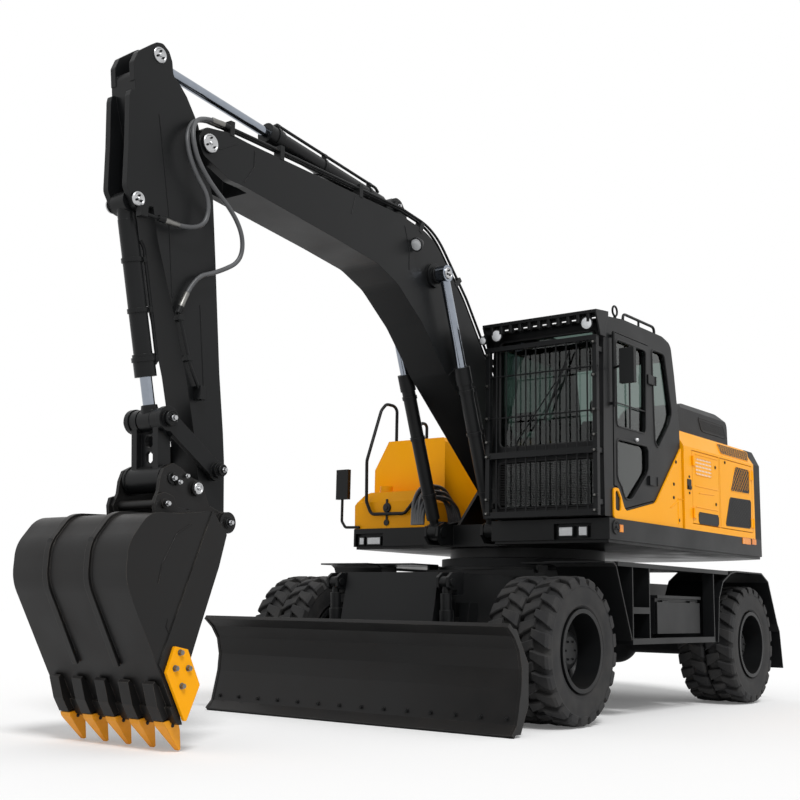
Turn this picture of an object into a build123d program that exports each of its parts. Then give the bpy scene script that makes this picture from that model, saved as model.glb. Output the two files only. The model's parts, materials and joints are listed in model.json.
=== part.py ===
from build123d import *
import os
from math import hypot, radians, tan

# Wheeled excavator, millimetres. +X is forward, +Y is the machine's left, +Z is up.
# The working frame has its origin on the slew axis at ground level. Every piece is
# moved by -MIDDLE_X at export, so that the origin is below the middle of the machine.

# ---------------------------------------------------------------- driving dimensions
MIDDLE_X = 1150.0          # middle of the overall length, ahead of the slew axis

TYRE_R = 495.0
TYRE_W = 236.0
TWIN_PITCH = 246.0         # centre to centre of the two tyres of one pair
OUTER_TYRE_Y = 1182.0
RIM_R = 277.0
FRONT_AXLE_X = 1430.0
REAR_AXLE_X = -1600.0
KINGPIN_Y = 740.0
HOUSING_R = 205.0          # round housing in the middle of each axle

FRAME_TOP = 1060.0         # undercarriage frame
FRAME_BOTTOM = 660.0
WALK_Z = (1076.0, 1108.0)  # walkways beside the frame
RING_R = 710.0             # slew ring, outside
DECK_BOTTOM = 1237.0       # revolving deck
DECK_TOP = 1410.0
DECK_HALF = 1300.0
DECK_FRONT = 1040.0
TAIL_X = -2350.0
TAIL_SIDE_X = -1900.0      # where the tail's curve begins at the side

CAB_Y = (336.0, 1276.0)
CAB_TOP = 2907.0
HOOD_TOP = 2215.0
HOOD_EDGE = (1210.0, 2075.0)       # the hood's bevel: its inner y at the top, its lower z at the side
HOOD_FRONT = -250.0
WEIGHT_FRONT = -1755.0     # counterweight

# Pivots as (x, z) in the side view.
BOOM_FOOT = (300.0, 1690.0)
BOOM_NOSE = (3949.0, 3476.0)
BOOM_CYL_FOOT = (946.0, 1347.0)
BOOM_CYL_PIN = (1630.0, 3205.0)
ARM_CYL_FOOT = (1990.0, 3660.0)
ARM_CYL_PIN = (4309.0, 3918.0)
BUCKET_CYL_FOOT = (4417.0, 3005.0)
BUCKET_PIN = (3720.0, 1225.0)
GUIDE_PIN = (3752.0, 1530.0)
CROSS_PIN = (4140.0, 1786.0)
EAR_PIN = (4118.0, 1448.0)
HITCH_PIN = (3939.0, 1406.0)
REAR_PIN = (4188.0, 1300.0)
BLADE_PIN = (1620.0, 570.0)
BLADE_CYL_FOOT = (1885.0, 935.0)
BLADE_CYL_PIN = (1860.0, 440.0)

BOOM_HALF = 165.0          # half widths across the machine
NOSE_SLOT_HALF = 110.0
STICK_HALF = 102.0
GUIDE_Y = (118.0, 152.0)   # plates beside the stick, from the inside out
HITCH_Y = (158.0, 180.0)
LUG_Y = (182.0, 204.0)
BOOM_CYL_Y = 264.0
BLADE_HALF = 1310.0
BLADE_CYL_Y = 490.0        # cylinders and lift arms share one middle plane on each side
BUCKET_HALF = 470.0
CROSS_STUB = 58.0          # the cross pin is two stubs, open between them for the rod's eye

TOW_AT = (-2140.0, 0.0, 740.0)
TOW_BORE_R = 20.0
TOW_LENGTH = 40.0
EYE_AT = (-2060.0, 500.0, 2245.0)      # lifting eyes on the counterweight, left and right
EYE_BORE_R = 25.0
EYE_LENGTH = 40.0

PIN_GAP = 0.3              # round a pin in a moving bore
HINGE_R = 9.0
SIDES = (("left", 1), ("right", -1))


# ---------------------------------------------------------------- shape helpers
def block(x, y, z):
    """Box from (low, high) pairs."""
    size = [b - a for a, b in (x, y, z)]
    middle = [(a + b) / 2 for a, b in (x, y, z)]
    return Pos(*middle) * Box(*size)


def tube(start, end, r, bore=0.0):
    """Round bar between two points, with an optional bore."""
    length = (Vector(*end) - Vector(*start)).length
    frame = Plane(origin=start, z_dir=Vector(*end) - Vector(*start))
    bar = frame * Cylinder(r, length, align=(Align.CENTER, Align.CENTER, Align.MIN))
    if bore:
        bar -= frame * Cylinder(bore, length, align=(Align.CENTER, Align.CENTER, Align.MIN))
    return bar


def cross_bar(at, y, r, bore=0.0):
    """Round bar across the machine at a side-view point."""
    return tube((at[0], y[0], at[1]), (at[0], y[1], at[1]), r, bore)


def side_plate(points, y, radii=None):
    """Flat shape given by (x, z) points, as thick as the y pair."""
    corners = [Vector(px, y[0], pz) for px, pz in points]
    if radii is None:
        outline = Polyline(*corners, close=True)
    else:
        outline = FilletPolyline(*corners, radius=radii, close=True)
    return extrude(make_face(outline), amount=y[1] - y[0], dir=(0, 1, 0))


def front_plate(points, x):
    """Flat shape given by (y, z) points, as thick as the x pair."""
    corners = [Vector(x[0], py, pz) for py, pz in points]
    return extrude(make_face(Polyline(*corners, close=True)), amount=x[1] - x[0], dir=(1, 0, 0))


def ribbon(points, thickness):
    """Closed outline of a bent sheet: the points, then their offset to the left."""
    path = [Vector(*p) for p in points]
    back = []
    for i, p in enumerate(path):
        before = path[max(i - 1, 0)]
        after = path[min(i + 1, len(path) - 1)]
        d1 = (p - before) if i else (after - p)
        d2 = (after - p) if i < len(path) - 1 else d1
        n1 = Vector(-d1.Y, d1.X).normalized()
        n2 = Vector(-d2.Y, d2.X).normalized()
        mitre = (n1 + n2).normalized()
        back.append(p + mitre * (thickness / mitre.dot(n1)))
    return [(v.X, v.Y) for v in path + back[::-1]]


def pair(side, low, high):
    """Ordered y pair on one side of the machine."""
    return sorted((side * low, side * high))


def hinge_barrel(start, end):
    """Round knuckle of a hinge."""
    return tube(start, end, HINGE_R)


def bends(points):
    """Bend radius at each inner corner of a route, from its shorter run and its turn."""
    route = [Vector(*p) for p in points]
    radii = []
    for before, corner, after in zip(route, route[1:], route[2:]):
        arriving = corner - before
        leaving = after - corner
        half_turn = radians(arriving.get_angle(leaving) / 2)
        radii.append(0.45 * min(arriving.length, leaving.length) / tan(half_turn))
    return radii


def pipe(points, r, radii):
    """Round line or hose along a route with tangent bends."""
    path = FilletPolyline(*points, radius=radii)
    section = Plane(origin=path @ 0, z_dir=path % 0) * Circle(r)
    return sweep(section, path)


def along(start, end, distance):
    """Side-view point at a distance from start towards end."""
    length = hypot(end[0] - start[0], end[1] - start[1])
    share = distance / length
    return (start[0] + (end[0] - start[0]) * share, start[1] + (end[1] - start[1]) * share)


# ---------------------------------------------------------------- hydraulic cylinders
def barrel(foot, pin, y, r, rod_r, length, eye_r, eye_half, foot_pin_r):
    """Cylinder barrel: foot eye, neck, tube with a gland collar, and the bore for the rod."""
    def at(distance):
        x, z = along(foot, pin, distance)
        return (x, y, z)

    start = eye_r + 36
    body = tube(at(0), at(start + 5), eye_half - 2)
    body += tube(at(start), at(length), r)
    body += cross_bar(foot, (y - eye_half, y + eye_half), eye_r)
    body += tube(at(length - 130), at(length), r + 9)
    body -= tube(at(start + 14), at(length + 5), rod_r + 0.5)
    return body - cross_bar(foot, (y - eye_half - 1, y + eye_half + 1), foot_pin_r + PIN_GAP)


def rod(foot, pin, y, r, start, eye_r, eye_half):
    """Piston rod from inside the barrel to the eye at its pin."""
    x, z = along(foot, pin, start)
    body = tube((x, y, z), (pin[0], y, pin[1]), r)
    return body + cross_bar(pin, (y - eye_half, y + eye_half), eye_r)


# ---------------------------------------------------------------- wheels and axles
def tyre_pair(x, side):
    """Two tyres of one twin wheel."""
    half = TYRE_W / 2
    tyres = []
    for y in (OUTER_TYRE_Y, OUTER_TYRE_Y - TWIN_PITCH):
        section = [(265, -half + 30), (300, -half + 8), (400, -half), (455, -half + 6), (TYRE_R, -half + 34),
                   (TYRE_R, half - 34), (455, half - 6), (400, half), (300, half - 8), (265, half - 30)]
        corners = [Vector(r, 0, w) for r, w in section]
        ring = revolve(make_face(Polyline(*corners, close=True)), Axis.Z)
        tyres.append(Pos(x, side * y, TYRE_R) * Rot(90, 0, 0) * ring)
    return tyres


def rim_pair(x, side):
    """Rims, disc and hub of one twin wheel, in one turned piece with a blind hub bore."""
    inner = OUTER_TYRE_Y - TWIN_PITCH - TYRE_W / 2 + 4
    outer = OUTER_TYRE_Y + TYRE_W / 2 - 4
    disc = OUTER_TYRE_Y - TWIN_PITCH / 2 + 20
    hub = [(62.5, 895), (150, 895), (150, disc - 25), (246, disc - 25), (246, inner), (RIM_R, inner),
           (RIM_R, inner + 14), (262, inner + 20), (262, outer - 20), (RIM_R, outer - 14), (RIM_R, outer),
           (248, outer), (246, disc + 40), (225, disc), (175, disc), (165, disc + 30), (135, disc + 34),
           (128, disc + 100), (90, disc + 118), (0, disc + 118), (0, 1020), (62.5, 1020)]
    corners = [Vector(r, 0, w) for r, w in hub]
    turned = revolve(make_face(Polyline(*corners, close=True)), Axis.Z)
    return Pos(x, 0, TYRE_R) * Rot(-90 * side, 0, 0) * turned


def spindle(x, side):
    """Stub that carries the hub."""
    return tube((x, side * 840, TYRE_R), (x, side * 1012, TYRE_R), 60)


def steering_knuckle(side):
    """Yoke round the axle's end, with the kingpins and the spindle."""
    x = FRONT_AXLE_X
    y = sorted((side * 672, side * 884))
    wall = sorted((side * 852, side * 884))
    body = block((x - 88, x + 88), y, (TYRE_R + 112, TYRE_R + 142))
    body += block((x - 88, x + 88), y, (TYRE_R - 142, TYRE_R - 112))
    body += block((x - 88, x + 88), wall, (TYRE_R - 142, TYRE_R + 142))
    body += spindle(x, side)
    for z in ((TYRE_R + 70, TYRE_R + 160), (TYRE_R - 160, TYRE_R - 70)):
        body += tube((x, side * KINGPIN_Y, z[0]), (x, side * KINGPIN_Y, z[1]), 34)
    return body


def front_axle():
    """Steered axle: housing, tapered arms, round ends for the kingpins and the saddle."""
    x = FRONT_AXLE_X
    z = TYRE_R
    body = Pos(x, 0, z) * Sphere(HOUSING_R)
    body += tube((x, -400, z), (x, 400, z), 118)
    for _, side in SIDES:
        body += tube((x, side * 380, z), (x, side * 740, z), 84)
        body += tube((x, side * KINGPIN_Y, z - 106), (x, side * KINGPIN_Y, z + 106), 92)
    for _, side in SIDES:
        body += block((x - 110, x + 110), sorted((side * 240, side * 330)), (z, FRAME_BOTTOM))
    for _, side in SIDES:
        for end in (z - 110, z + 66):
            body -= tube((x, side * KINGPIN_Y, end), (x, side * KINGPIN_Y, end + 44), 34 + PIN_GAP)
    return body


def rear_axle():
    """Rigid axle with its housing, flanges and spindles."""
    x = REAR_AXLE_X
    z = TYRE_R
    body = Pos(x, 0, z) * Sphere(HOUSING_R)
    body += tube((x, -800, z), (x, 800, z), 105)
    for _, side in SIDES:
        body += tube((x, side * 780, z), (x, side * 884, z), 150)
        body += spindle(x, side)
        body += block((x - 140, x + 140), sorted((side * 300, side * 430)), (z, FRAME_BOTTOM))
    return body


def driveline():
    """Transmission and the two shafts to the axles."""
    z = TYRE_R
    gearbox = block((-260, 240), (-210, 210), (380, FRAME_BOTTOM))
    gearbox = fillet(gearbox.edges().filter_by(Axis.Y), 60)
    gearbox += tube((240, 0, z), (FRONT_AXLE_X - HOUSING_R - 2, 0, z), 42)
    return gearbox + tube((REAR_AXLE_X + HOUSING_R + 2, 0, z), (-260, 0, z), 42)


# ---------------------------------------------------------------- undercarriage
def chassis_frame():
    """Welded frame: centre box under the slew ring, front and rear beams, blade and cylinder lugs."""
    body = block((-720, 740), (-500, 500), (FRAME_BOTTOM, FRAME_TOP))
    front = [(700, FRAME_BOTTOM), (1920, FRAME_BOTTOM), (1850, 1005), (700, 1005)]
    body += side_plate(front, (-405, 405))
    body += block((-2080, -700), (-430, 430), (FRAME_BOTTOM, 1010))
    body += tube((0, 0, FRAME_TOP), (0, 0, FRAME_TOP + 25), RING_R + 45)
    for axle_x in (FRONT_AXLE_X, REAR_AXLE_X):
        body -= Pos(axle_x, 0, TYRE_R) * Sphere(HOUSING_R + 20)
    tow_z = (TOW_AT[2] - TOW_LENGTH / 2, TOW_AT[2] + TOW_LENGTH / 2)
    body += block((TOW_AT[0], -2070), (-60, 60), tow_z)
    body += tube((TOW_AT[0], 0, tow_z[0]), (TOW_AT[0], 0, tow_z[1]), 60)
    body -= tube((TOW_AT[0], 0, tow_z[0]), (TOW_AT[0], 0, tow_z[1]), TOW_BORE_R)
    for _, side in SIDES:
        lug = [(1540, 800), (1650, 800), (1680, 590), (1655, 530), (1620, 515), (1585, 530), (1560, 590)]
        body += side_plate(lug, pair(side, BLADE_CYL_Y - 40, BLADE_CYL_Y + 40))
        body += block((1540, 1640), pair(side, 400, BLADE_CYL_Y + 40), (700, 800))
        body += cross_bar(BLADE_PIN, pair(side, BLADE_CYL_Y - 80, BLADE_CYL_Y + 84), 32)
        ear = [(1780, 1005), (1880, 1000), (1930, 965), (1925, 900), (1885, 880), (1780, 890)]
        for y in (BLADE_CYL_Y - 52, BLADE_CYL_Y + 32):
            body += side_plate(ear, pair(side, y, y + 20))
        body += block((1740, 1820), pair(side, 400, BLADE_CYL_Y + 52), (850, 1005))
        body += cross_bar(BLADE_CYL_FOOT, pair(side, BLADE_CYL_Y - 62, BLADE_CYL_Y + 62), 26)
    return body


def slew_ring():
    """Outer race, bolted to the frame."""
    return tube((0, 0, FRAME_TOP + 25), (0, 0, 1155), RING_R, 520)


def fenders():
    """Bent mudguards: two behind the front wheels, two round the rear wheels."""
    front = [(1120, 1104), (985, 1104), (940, 1080), (705, 560)]
    rear = [(-862, 527), (-905, 880), (-990, 1010), (-1165, 1085), (-1291, 1104), (-1869, 1104), (-2025, 1035),
            (-2220, 665), (-2270, 600), (-2330, 275)]
    pieces = []
    for _, side in SIDES:
        y = pair(side, 815, 1300)
        pieces.append(side_plate(ribbon(front, 12), y))
        pieces.append(side_plate(ribbon(rear, -12), y))
    return pieces


def side_decks():
    """Side walkways with hanging steps: a long lower bar and a short upper tread."""
    pieces = []
    for _, side in SIDES:
        step_y = pair(side, 1060, 1296)
        body = block((-1095, 920), pair(side, 505, 1300), (WALK_Z[1] - 12, WALK_Z[1]))
        body += block((-1095, 920), pair(side, 1282, 1300), WALK_Z)
        body += block((-700, 700), pair(side, 500, 520), (WALK_Z[0] - 40, WALK_Z[1]))
        body -= tube((0, 0, WALK_Z[0] - 50), (0, 0, WALK_Z[1] + 1), RING_R + 50)
        body += block((400, 690), step_y, (744, 790))
        body += block((400, 690), step_y, (525, 568))
        for x in (400, 676):
            body += block((x, x + 14), step_y, (530, WALK_Z[1] - 6))
        body += block((-800, 405), pair(side, 1250, 1296), (525, 568))
        body += block((-800, -786), pair(side, 1200, 1296), (525, WALK_Z[1] - 6))
        pieces.append(body)
    return pieces


TOOLBOX_X = (-644.0, 150.0)
TOOLBOX_Y = (900.0, 1215.0)
TOOLBOX_Z = (596.0, 885.0)
TOOLBOX_DOOR_TOP = 834.0
TOOLBOX_HINGE = (TOOLBOX_Y[1] + 12, TOOLBOX_DOOR_TOP + 6)      # y, z


def toolboxes():
    """Two boxes below the walkways, open on their outer side, with a lip over the door's hinge."""
    pieces = []
    for _, side in SIDES:
        shell = block(TOOLBOX_X, pair(side, *TOOLBOX_Y), TOOLBOX_Z)
        inside_z = (TOOLBOX_Z[0] + 12, TOOLBOX_DOOR_TOP - 12)
        inside_y = pair(side, TOOLBOX_Y[0] + 12, TOOLBOX_Y[1] + 10)
        shell -= block((TOOLBOX_X[0] + 12, TOOLBOX_X[1] - 12), inside_y, inside_z)
        lip_y = pair(side, TOOLBOX_Y[0], TOOLBOX_Y[1] + 26)
        shell += block((TOOLBOX_X[0] - 8, TOOLBOX_X[1] + 8), lip_y, (862, 885))
        for x in (TOOLBOX_X[0] + 60, TOOLBOX_X[1] - 160):
            shell += block((x, x + 100), pair(side, 500, TOOLBOX_Y[0] + 5), (780, 860))
        pieces.append(shell)
    return pieces


def toolbox_door(side):
    """Door over the outer side of a toolbox, hinged along its top."""
    y = pair(side, TOOLBOX_Y[1] + 5, TOOLBOX_Y[1] + 19)
    body = block(TOOLBOX_X, y, (TOOLBOX_Z[0], TOOLBOX_DOOR_TOP))
    hinge_y = side * TOOLBOX_HINGE[0]
    for x in (TOOLBOX_X[0] + 90, TOOLBOX_X[1] - 190):
        body += hinge_barrel((x, hinge_y, TOOLBOX_HINGE[1]), (x + 100, hinge_y, TOOLBOX_HINGE[1]))
    return body


# ---------------------------------------------------------------- dozer blade
def dozer_blade():
    """Curved blade with its cutting edge, end plates and lift arms; each arm is a pair of plates."""
    face = [(2345, 14), (2290, 69), (2240, 278), (2232, 400), (2262, 520), (2320, 600), (2395, 655)]
    body = side_plate(ribbon(face, 26), (-BLADE_HALF, BLADE_HALF))
    body += block((2160, 2222), (-BLADE_HALF, BLADE_HALF), (230, 330))
    for _, side in SIDES:
        end = [(2350, 14), (2250, 14), (2160, 180), (2160, 430), (2300, 640), (2400, 655), (2320, 590),
               (2262, 510), (2236, 400), (2244, 278), (2294, 69)]
        body += side_plate(end, pair(side, BLADE_HALF - 22, BLADE_HALF))
        arm = [(2225, 470), (2225, 180), (2160, 200), (1850, 380), (1620, 510), (1565, 560), (1590, 622), (1700, 622),
               (1900, 520)]
        for y in (BLADE_CYL_Y - 73, BLADE_CYL_Y + 57):
            arm_y = pair(side, y, y + 16)
            body += side_plate(arm, arm_y)
            body += cross_bar(BLADE_PIN, arm_y, 55)
            body -= cross_bar(BLADE_PIN, arm_y, 32 + PIN_GAP)
        body += block((2150, 2226), pair(side, BLADE_CYL_Y - 73, BLADE_CYL_Y + 73), (200, 460))
    return body


def blade_cylinder_parts():
    """Barrels and rods of the two blade cylinders."""
    barrels = []
    rods = []
    for _, side in SIDES:
        y = side * BLADE_CYL_Y
        barrels.append(barrel(BLADE_CYL_FOOT, BLADE_CYL_PIN, y, 40, 24, 318, 40, 28, 26))
        rods.append(rod(BLADE_CYL_FOOT, BLADE_CYL_PIN, y, 24, 228, 36, 48))
    return barrels, rods


# ---------------------------------------------------------------- revolving deck
def deck_outline(inset, front):
    """Plan outline with the tail as one arc."""
    half = DECK_HALF - inset
    tail = TAIL_X + inset
    left = (front, half)
    lines = Polyline((TAIL_SIDE_X, half), left, (front, 316 + inset), (800, 316 + inset), (800, -480),
                     (700 - inset, -480), (700 - inset, -half), (TAIL_SIDE_X, -half))
    tail_arc = ThreePointArc((TAIL_SIDE_X, -half), (tail, 0), (TAIL_SIDE_X, half))
    return make_face(lines + tail_arc)


def upper_frame():
    """Deck with lamp recesses, slew ring's inner race, boom foot plates and boom cylinder ears."""
    deck = Pos(0, 0, DECK_BOTTOM + 22) * extrude(deck_outline(0, DECK_FRONT), amount=DECK_TOP - DECK_BOTTOM - 22)
    deck += Pos(0, 0, DECK_BOTTOM) * extrude(deck_outline(18, DECK_FRONT - 18), amount=22)
    deck -= block((DECK_FRONT - 40, DECK_FRONT + 1), (850, 1154), (1262, 1375))
    deck -= block((660, 701), (-1282, -985), (1262, 1368))
    deck += tube((0, 0, 1160), (0, 0, DECK_BOTTOM + 10), RING_R - 70)
    for _, side in SIDES:
        foot = [(-175, 1400), (-175, 1500), (180, 1780), (300, 1820), (410, 1760), (760, 1400)]
        deck += side_plate(foot, pair(side, 172, 200))
        ear = [(790, 1250), (790, 1409), (930, 1418), (1010, 1385), (1018, 1310), (960, 1250)]
        for y in (BOOM_CYL_Y - 66, BOOM_CYL_Y + 44):
            deck += side_plate(ear, pair(side, y, y + 22))
        deck += cross_bar(BOOM_CYL_FOOT, pair(side, BOOM_CYL_Y - 76, BOOM_CYL_Y + 69), 38)
    return deck + cross_bar(BOOM_FOOT, (-215, 215), 45)


def hood_section(inset, floor):
    """Cross section of the hood as (y, z) points: flat top, bevelled shoulders, straight sides."""
    half = DECK_HALF - inset
    shoulder = HOOD_EDGE[1] - inset * 0.4
    edge = HOOD_EDGE[0] - inset * 0.6
    top = HOOD_TOP - inset
    return [(-half, floor), (-half, shoulder), (-edge, top), (edge, top), (half, shoulder), (half, floor)]


def counterweight():
    """Cast block with a rounded tail and the hood's bevelled shoulders."""
    side_y = DECK_HALF
    outline = Polyline((TAIL_SIDE_X, -side_y), (WEIGHT_FRONT, -side_y),
                       (WEIGHT_FRONT, side_y), (TAIL_SIDE_X, side_y))
    arc = ThreePointArc((TAIL_SIDE_X, side_y), (TAIL_X, 0), (TAIL_SIDE_X, -side_y))
    body = Pos(0, 0, DECK_TOP) * extrude(make_face(outline + arc), amount=HOOD_TOP - DECK_TOP)
    body &= front_plate(hood_section(0, DECK_TOP), (TAIL_X - 10, WEIGHT_FRONT))
    for _, side in SIDES:
        y = pair(side, EYE_AT[1] - EYE_LENGTH / 2, EYE_AT[1] + EYE_LENGTH / 2)
        body += block((EYE_AT[0] - 55, EYE_AT[0] + 55), y, (HOOD_TOP - 60, EYE_AT[2]))
        body += cross_bar((EYE_AT[0], EYE_AT[2]), y, 55)
        body -= cross_bar((EYE_AT[0], EYE_AT[2]), y, EYE_BORE_R)
    return body


def engine_block():
    """Engine and pump, as one plain heavy block."""
    return block((-1350, -700), (-700, 500), (DECK_TOP, 1980))


HOOD_WALL = 30.0
DOOR_SPAN_Z = (DECK_TOP + 50, HOOD_EDGE[1] - 20)     # door openings in the hood's sides
LEFT_DOORS = ((-955.0, -405.0), (-1705.0, -975.0))
RIGHT_DOOR = (-1650.0, -640.0)
HOOD_RIGHT_FRONT = 440.0
HINGE_OUT = 9.0            # hinge axis outside the hood's side
DOOR_GAP = 6.0
LID_HINGE = (HOOD_FRONT - 104, HOOD_TOP + 16)        # x, z


def cab_side_panel():
    """Painted panel over the cab's lower rear corner, flush with the hood, with an oval opening."""
    outline = [(943, DECK_TOP + 2), (943, 1632), (870, 1632), (822, 1572), (764, 1472), (262, 1572), (235, 1592),
               (-228, 2052), (-232, DECK_TOP + 2)]
    panel = side_plate(outline, (CAB_Y[1], CAB_Y[1] + 12), [20, 30, 20, 30, 60, 90, 30, 4, 4])
    oval = side_plate([(832, 1470), (918, 1470), (918, 1612), (875, 1612), (832, 1560)],
                      (CAB_Y[1] - 1, CAB_Y[1] + 13), 22)
    return panel - oval


def engine_housing():
    """Hollow housing of painted sheet with door openings in its sides and an open top."""
    wall = HOOD_WALL
    body = front_plate(hood_section(0, DECK_TOP), (WEIGHT_FRONT, HOOD_FRONT))
    right_box = [(-1290, DECK_TOP), (-1290, 1940), (-1140, 2186), (-560, 2186), (-540, 2150), (-540, DECK_TOP)]
    body += front_plate(right_box, (HOOD_FRONT - 10, HOOD_RIGHT_FRONT))
    body -= front_plate(hood_section(wall, DECK_TOP - 1), (WEIGHT_FRONT + wall, HOOD_FRONT - wall))
    body -= block((WEIGHT_FRONT + 60, HOOD_FRONT - 120), (-900, 400), (HOOD_TOP - wall - 1, HOOD_TOP + 1))
    for x in LEFT_DOORS:
        body -= block(x, (DECK_HALF - wall - 1, DECK_HALF + 1), DOOR_SPAN_Z)
    body -= block(RIGHT_DOOR, (-DECK_HALF - 1, -DECK_HALF + wall + 1), DOOR_SPAN_Z)
    return [body, cab_side_panel()]


def hood_door(x, side, hinge_x):
    """Side door that fills its opening with an even gap; its hinge knuckles stand outside."""
    z = (DOOR_SPAN_Z[0] + DOOR_GAP, DOOR_SPAN_Z[1] - DOOR_GAP)
    body = block((x[0] + DOOR_GAP, x[1] - DOOR_GAP), pair(side, DECK_HALF - HOOD_WALL, DECK_HALF), z)
    inward = 1 if hinge_x < sum(x) / 2 else -1
    axis_x = hinge_x + inward * DOOR_GAP
    axis_y = side * (DECK_HALF + HINGE_OUT)
    for low in (z[0] + 40, z[1] - 120):
        body += hinge_barrel((axis_x, axis_y, low), (axis_x, axis_y, low + 80))
        leaf_x = sorted((axis_x, axis_x + inward * 50))
        body += block(leaf_x, pair(side, DECK_HALF - 5, DECK_HALF + HINGE_OUT), (low, low + 80))
    return body


def hood_lid():
    """Top lid over the engine, hinged along its front edge."""
    body = block((WEIGHT_FRONT + 50, HOOD_FRONT - 110), (-910, 410), (HOOD_TOP + 6, HOOD_TOP + 40))
    for y in (-760, 160):
        body += hinge_barrel((LID_HINGE[0], y, LID_HINGE[1]), (LID_HINGE[0], y + 100, LID_HINGE[1]))
    return body


def fuel_tank():
    """Low tank box at the right front, with chamfered edges and a filler."""
    section = [(-1300, DECK_TOP), (-1304, 1608), (-1227, 1701), (-1171, 1722), (-612, 1722), (-532, 1623),
               (-500, DECK_TOP)]
    body = front_plate(section, (HOOD_RIGHT_FRONT, 690))
    body &= side_plate([(HOOD_RIGHT_FRONT, DECK_TOP), (690, DECK_TOP), (690, 1635), (640, 1722),
                        (HOOD_RIGHT_FRONT, 1722)], (-1310, -490))
    return body + tube((565, -1060, 1700), (565, -1060, 1775), 55)


def air_box():
    """Black intake box on the left of the hood, rounded at its front and rear."""
    profile = [(-800, HOOD_TOP), (-800, 2440), (-960, 2555), (-1780, 2563), (-1915, 2480), (-1930, HOOD_TOP)]
    body = side_plate(profile, (450, 1000), [1, 120, 200, 160, 90, 1])
    section = [(450, HOOD_TOP), (450, 2510), (500, 2570), (940, 2570), (1000, 2500), (1000, HOOD_TOP)]
    return body & front_plate(section, (-1940, -790))


# ---------------------------------------------------------------- cab
DOOR_OPENING = [(325, 2785), (920, 2785), (925, 1640), (880, 1640), (832, 1580), (775, 1484), (275, 1582), (290, 2028)]
CAB_GAP = 8.0              # round the cab door
CAB_HINGE = (240.0, CAB_Y[1] + 20)         # x, y


def door_face(inset):
    """Door outline, drawn in by an even gap."""
    corners = [Vector(px, 0, pz) for px, pz in DOOR_OPENING]
    return offset(make_face(Polyline(*corners, close=True)), amount=-inset)


def across(face, y):
    """Face in the side view, made as thick as the y pair."""
    return extrude(Pos(0, y[0], 0) * face, amount=y[1] - y[0], dir=(0, 1, 0))


CAB_OUTLINE = [(-235, DECK_TOP + 12), (1060, DECK_TOP + 12), (1070, 1900), (1052, 2840), (1000, 2880), (740, 2907),
               (60, 2907), (-95, 2870), (-153, 2631), (-229, 2211)]
REAR_QUARTER = [(258, 2770), (30, 2770), (-95, 2300), (-40, 2210), (170, 2000), (225, 2040)]
FRONT_PANES = (((400, 1206), (1955, 2770)), ((390, 1200), (1500, 1845)))        # (y pair, z pair)


def cab_block():
    """Outside of the cab as one solid."""
    return side_plate(CAB_OUTLINE, CAB_Y, [30, 8, 200, 40, 80, 100, 200, 90, 200, 150])


def cab_shell():
    """Hollow cab with posts, floor and roof; the windows and the door are cut."""
    shell = cab_block()
    inner = [(-185, DECK_TOP + 72), (1015, DECK_TOP + 72), (1025, 1900), (1004, 2790), (740, 2840), (80, 2840),
             (-50, 2810), (-102, 2620), (-178, 2215)]
    shell -= side_plate(inner, (CAB_Y[0] + 45, CAB_Y[1] - 45))
    # Front panes, right window, rear window, rear quarter window, door, roof hatch.
    for y, z in FRONT_PANES:
        pane = block((930, 1200), y, z)
        shell -= fillet(pane.edges().filter_by(Axis.X), 40)
    shell -= side_plate([(150, 1980), (960, 1980), (960, 2740), (150, 2740)], (CAB_Y[0] - 5, CAB_Y[0] + 60))
    shell -= block((-300, 0), (CAB_Y[0] + 70, CAB_Y[1] - 70), (2260, 2740))
    shell -= side_plate(REAR_QUARTER, (CAB_Y[1] - 60, CAB_Y[1] + 5), 30)
    shell -= across(door_face(0), (CAB_Y[1] - 60, CAB_Y[1] + 5))
    shell -= block((330, 830), (CAB_Y[0] + 200, CAB_Y[1] - 200), (CAB_TOP - 90, CAB_TOP + 5))
    return shell


def cab_glass():
    """Fixed panes."""
    panes = []
    for y, z in FRONT_PANES:
        pane = block((1030, 1036), y, z)
        panes.append(fillet(pane.edges().filter_by(Axis.X), 40))
    panes.append(block((150, 960), (CAB_Y[0] + 20, CAB_Y[0] + 26), (1980, 2740)))
    panes.append(side_plate(REAR_QUARTER, (CAB_Y[1] - 26, CAB_Y[1] - 20), 30))
    return panes


DOOR_PANES = ([(368, 2735), (872, 2735), (872, 2085), (390, 2085)],
              [(385, 1995), (872, 1995), (872, 1705), (805, 1650), (752, 1560), (640, 1565), (352, 1800), (352, 1960)])


def cab_door():
    """Door frame, as thick as the cab wall, with two window openings and its hinge knuckles."""
    body = across(door_face(CAB_GAP), (CAB_Y[1] - 40, CAB_Y[1] + 4))
    for points in DOOR_PANES:
        body -= side_plate(points, (CAB_Y[1] - 60, CAB_Y[1] + 20), 28)
    x, y = CAB_HINGE
    for low in (1700, 2480):
        body += hinge_barrel((x, y, low), (x, y, low + 70))
        body += block((x, 365), (CAB_Y[1] + 12, CAB_Y[1] + 22), (low, low + 70))
        body += block((345, 365), (CAB_Y[1] - 10, CAB_Y[1] + 22), (low, low + 70))
    return body


def cab_door_glass():
    """Two panes that fill the door's openings."""
    return [side_plate(points, (CAB_Y[1] - 26, CAB_Y[1] - 20), 28) for points in DOOR_PANES]


def operator_seat():
    """Seat base, cushion and backrest."""
    y = (570, 1050)
    body = block((180, 600), (650, 970), (DECK_TOP + 72, 1800))
    body += block((160, 660), y, (1800, 1920))
    return body + side_plate([(160, 1900), (260, 1900), (190, 2480), (100, 2480)], y)


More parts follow.
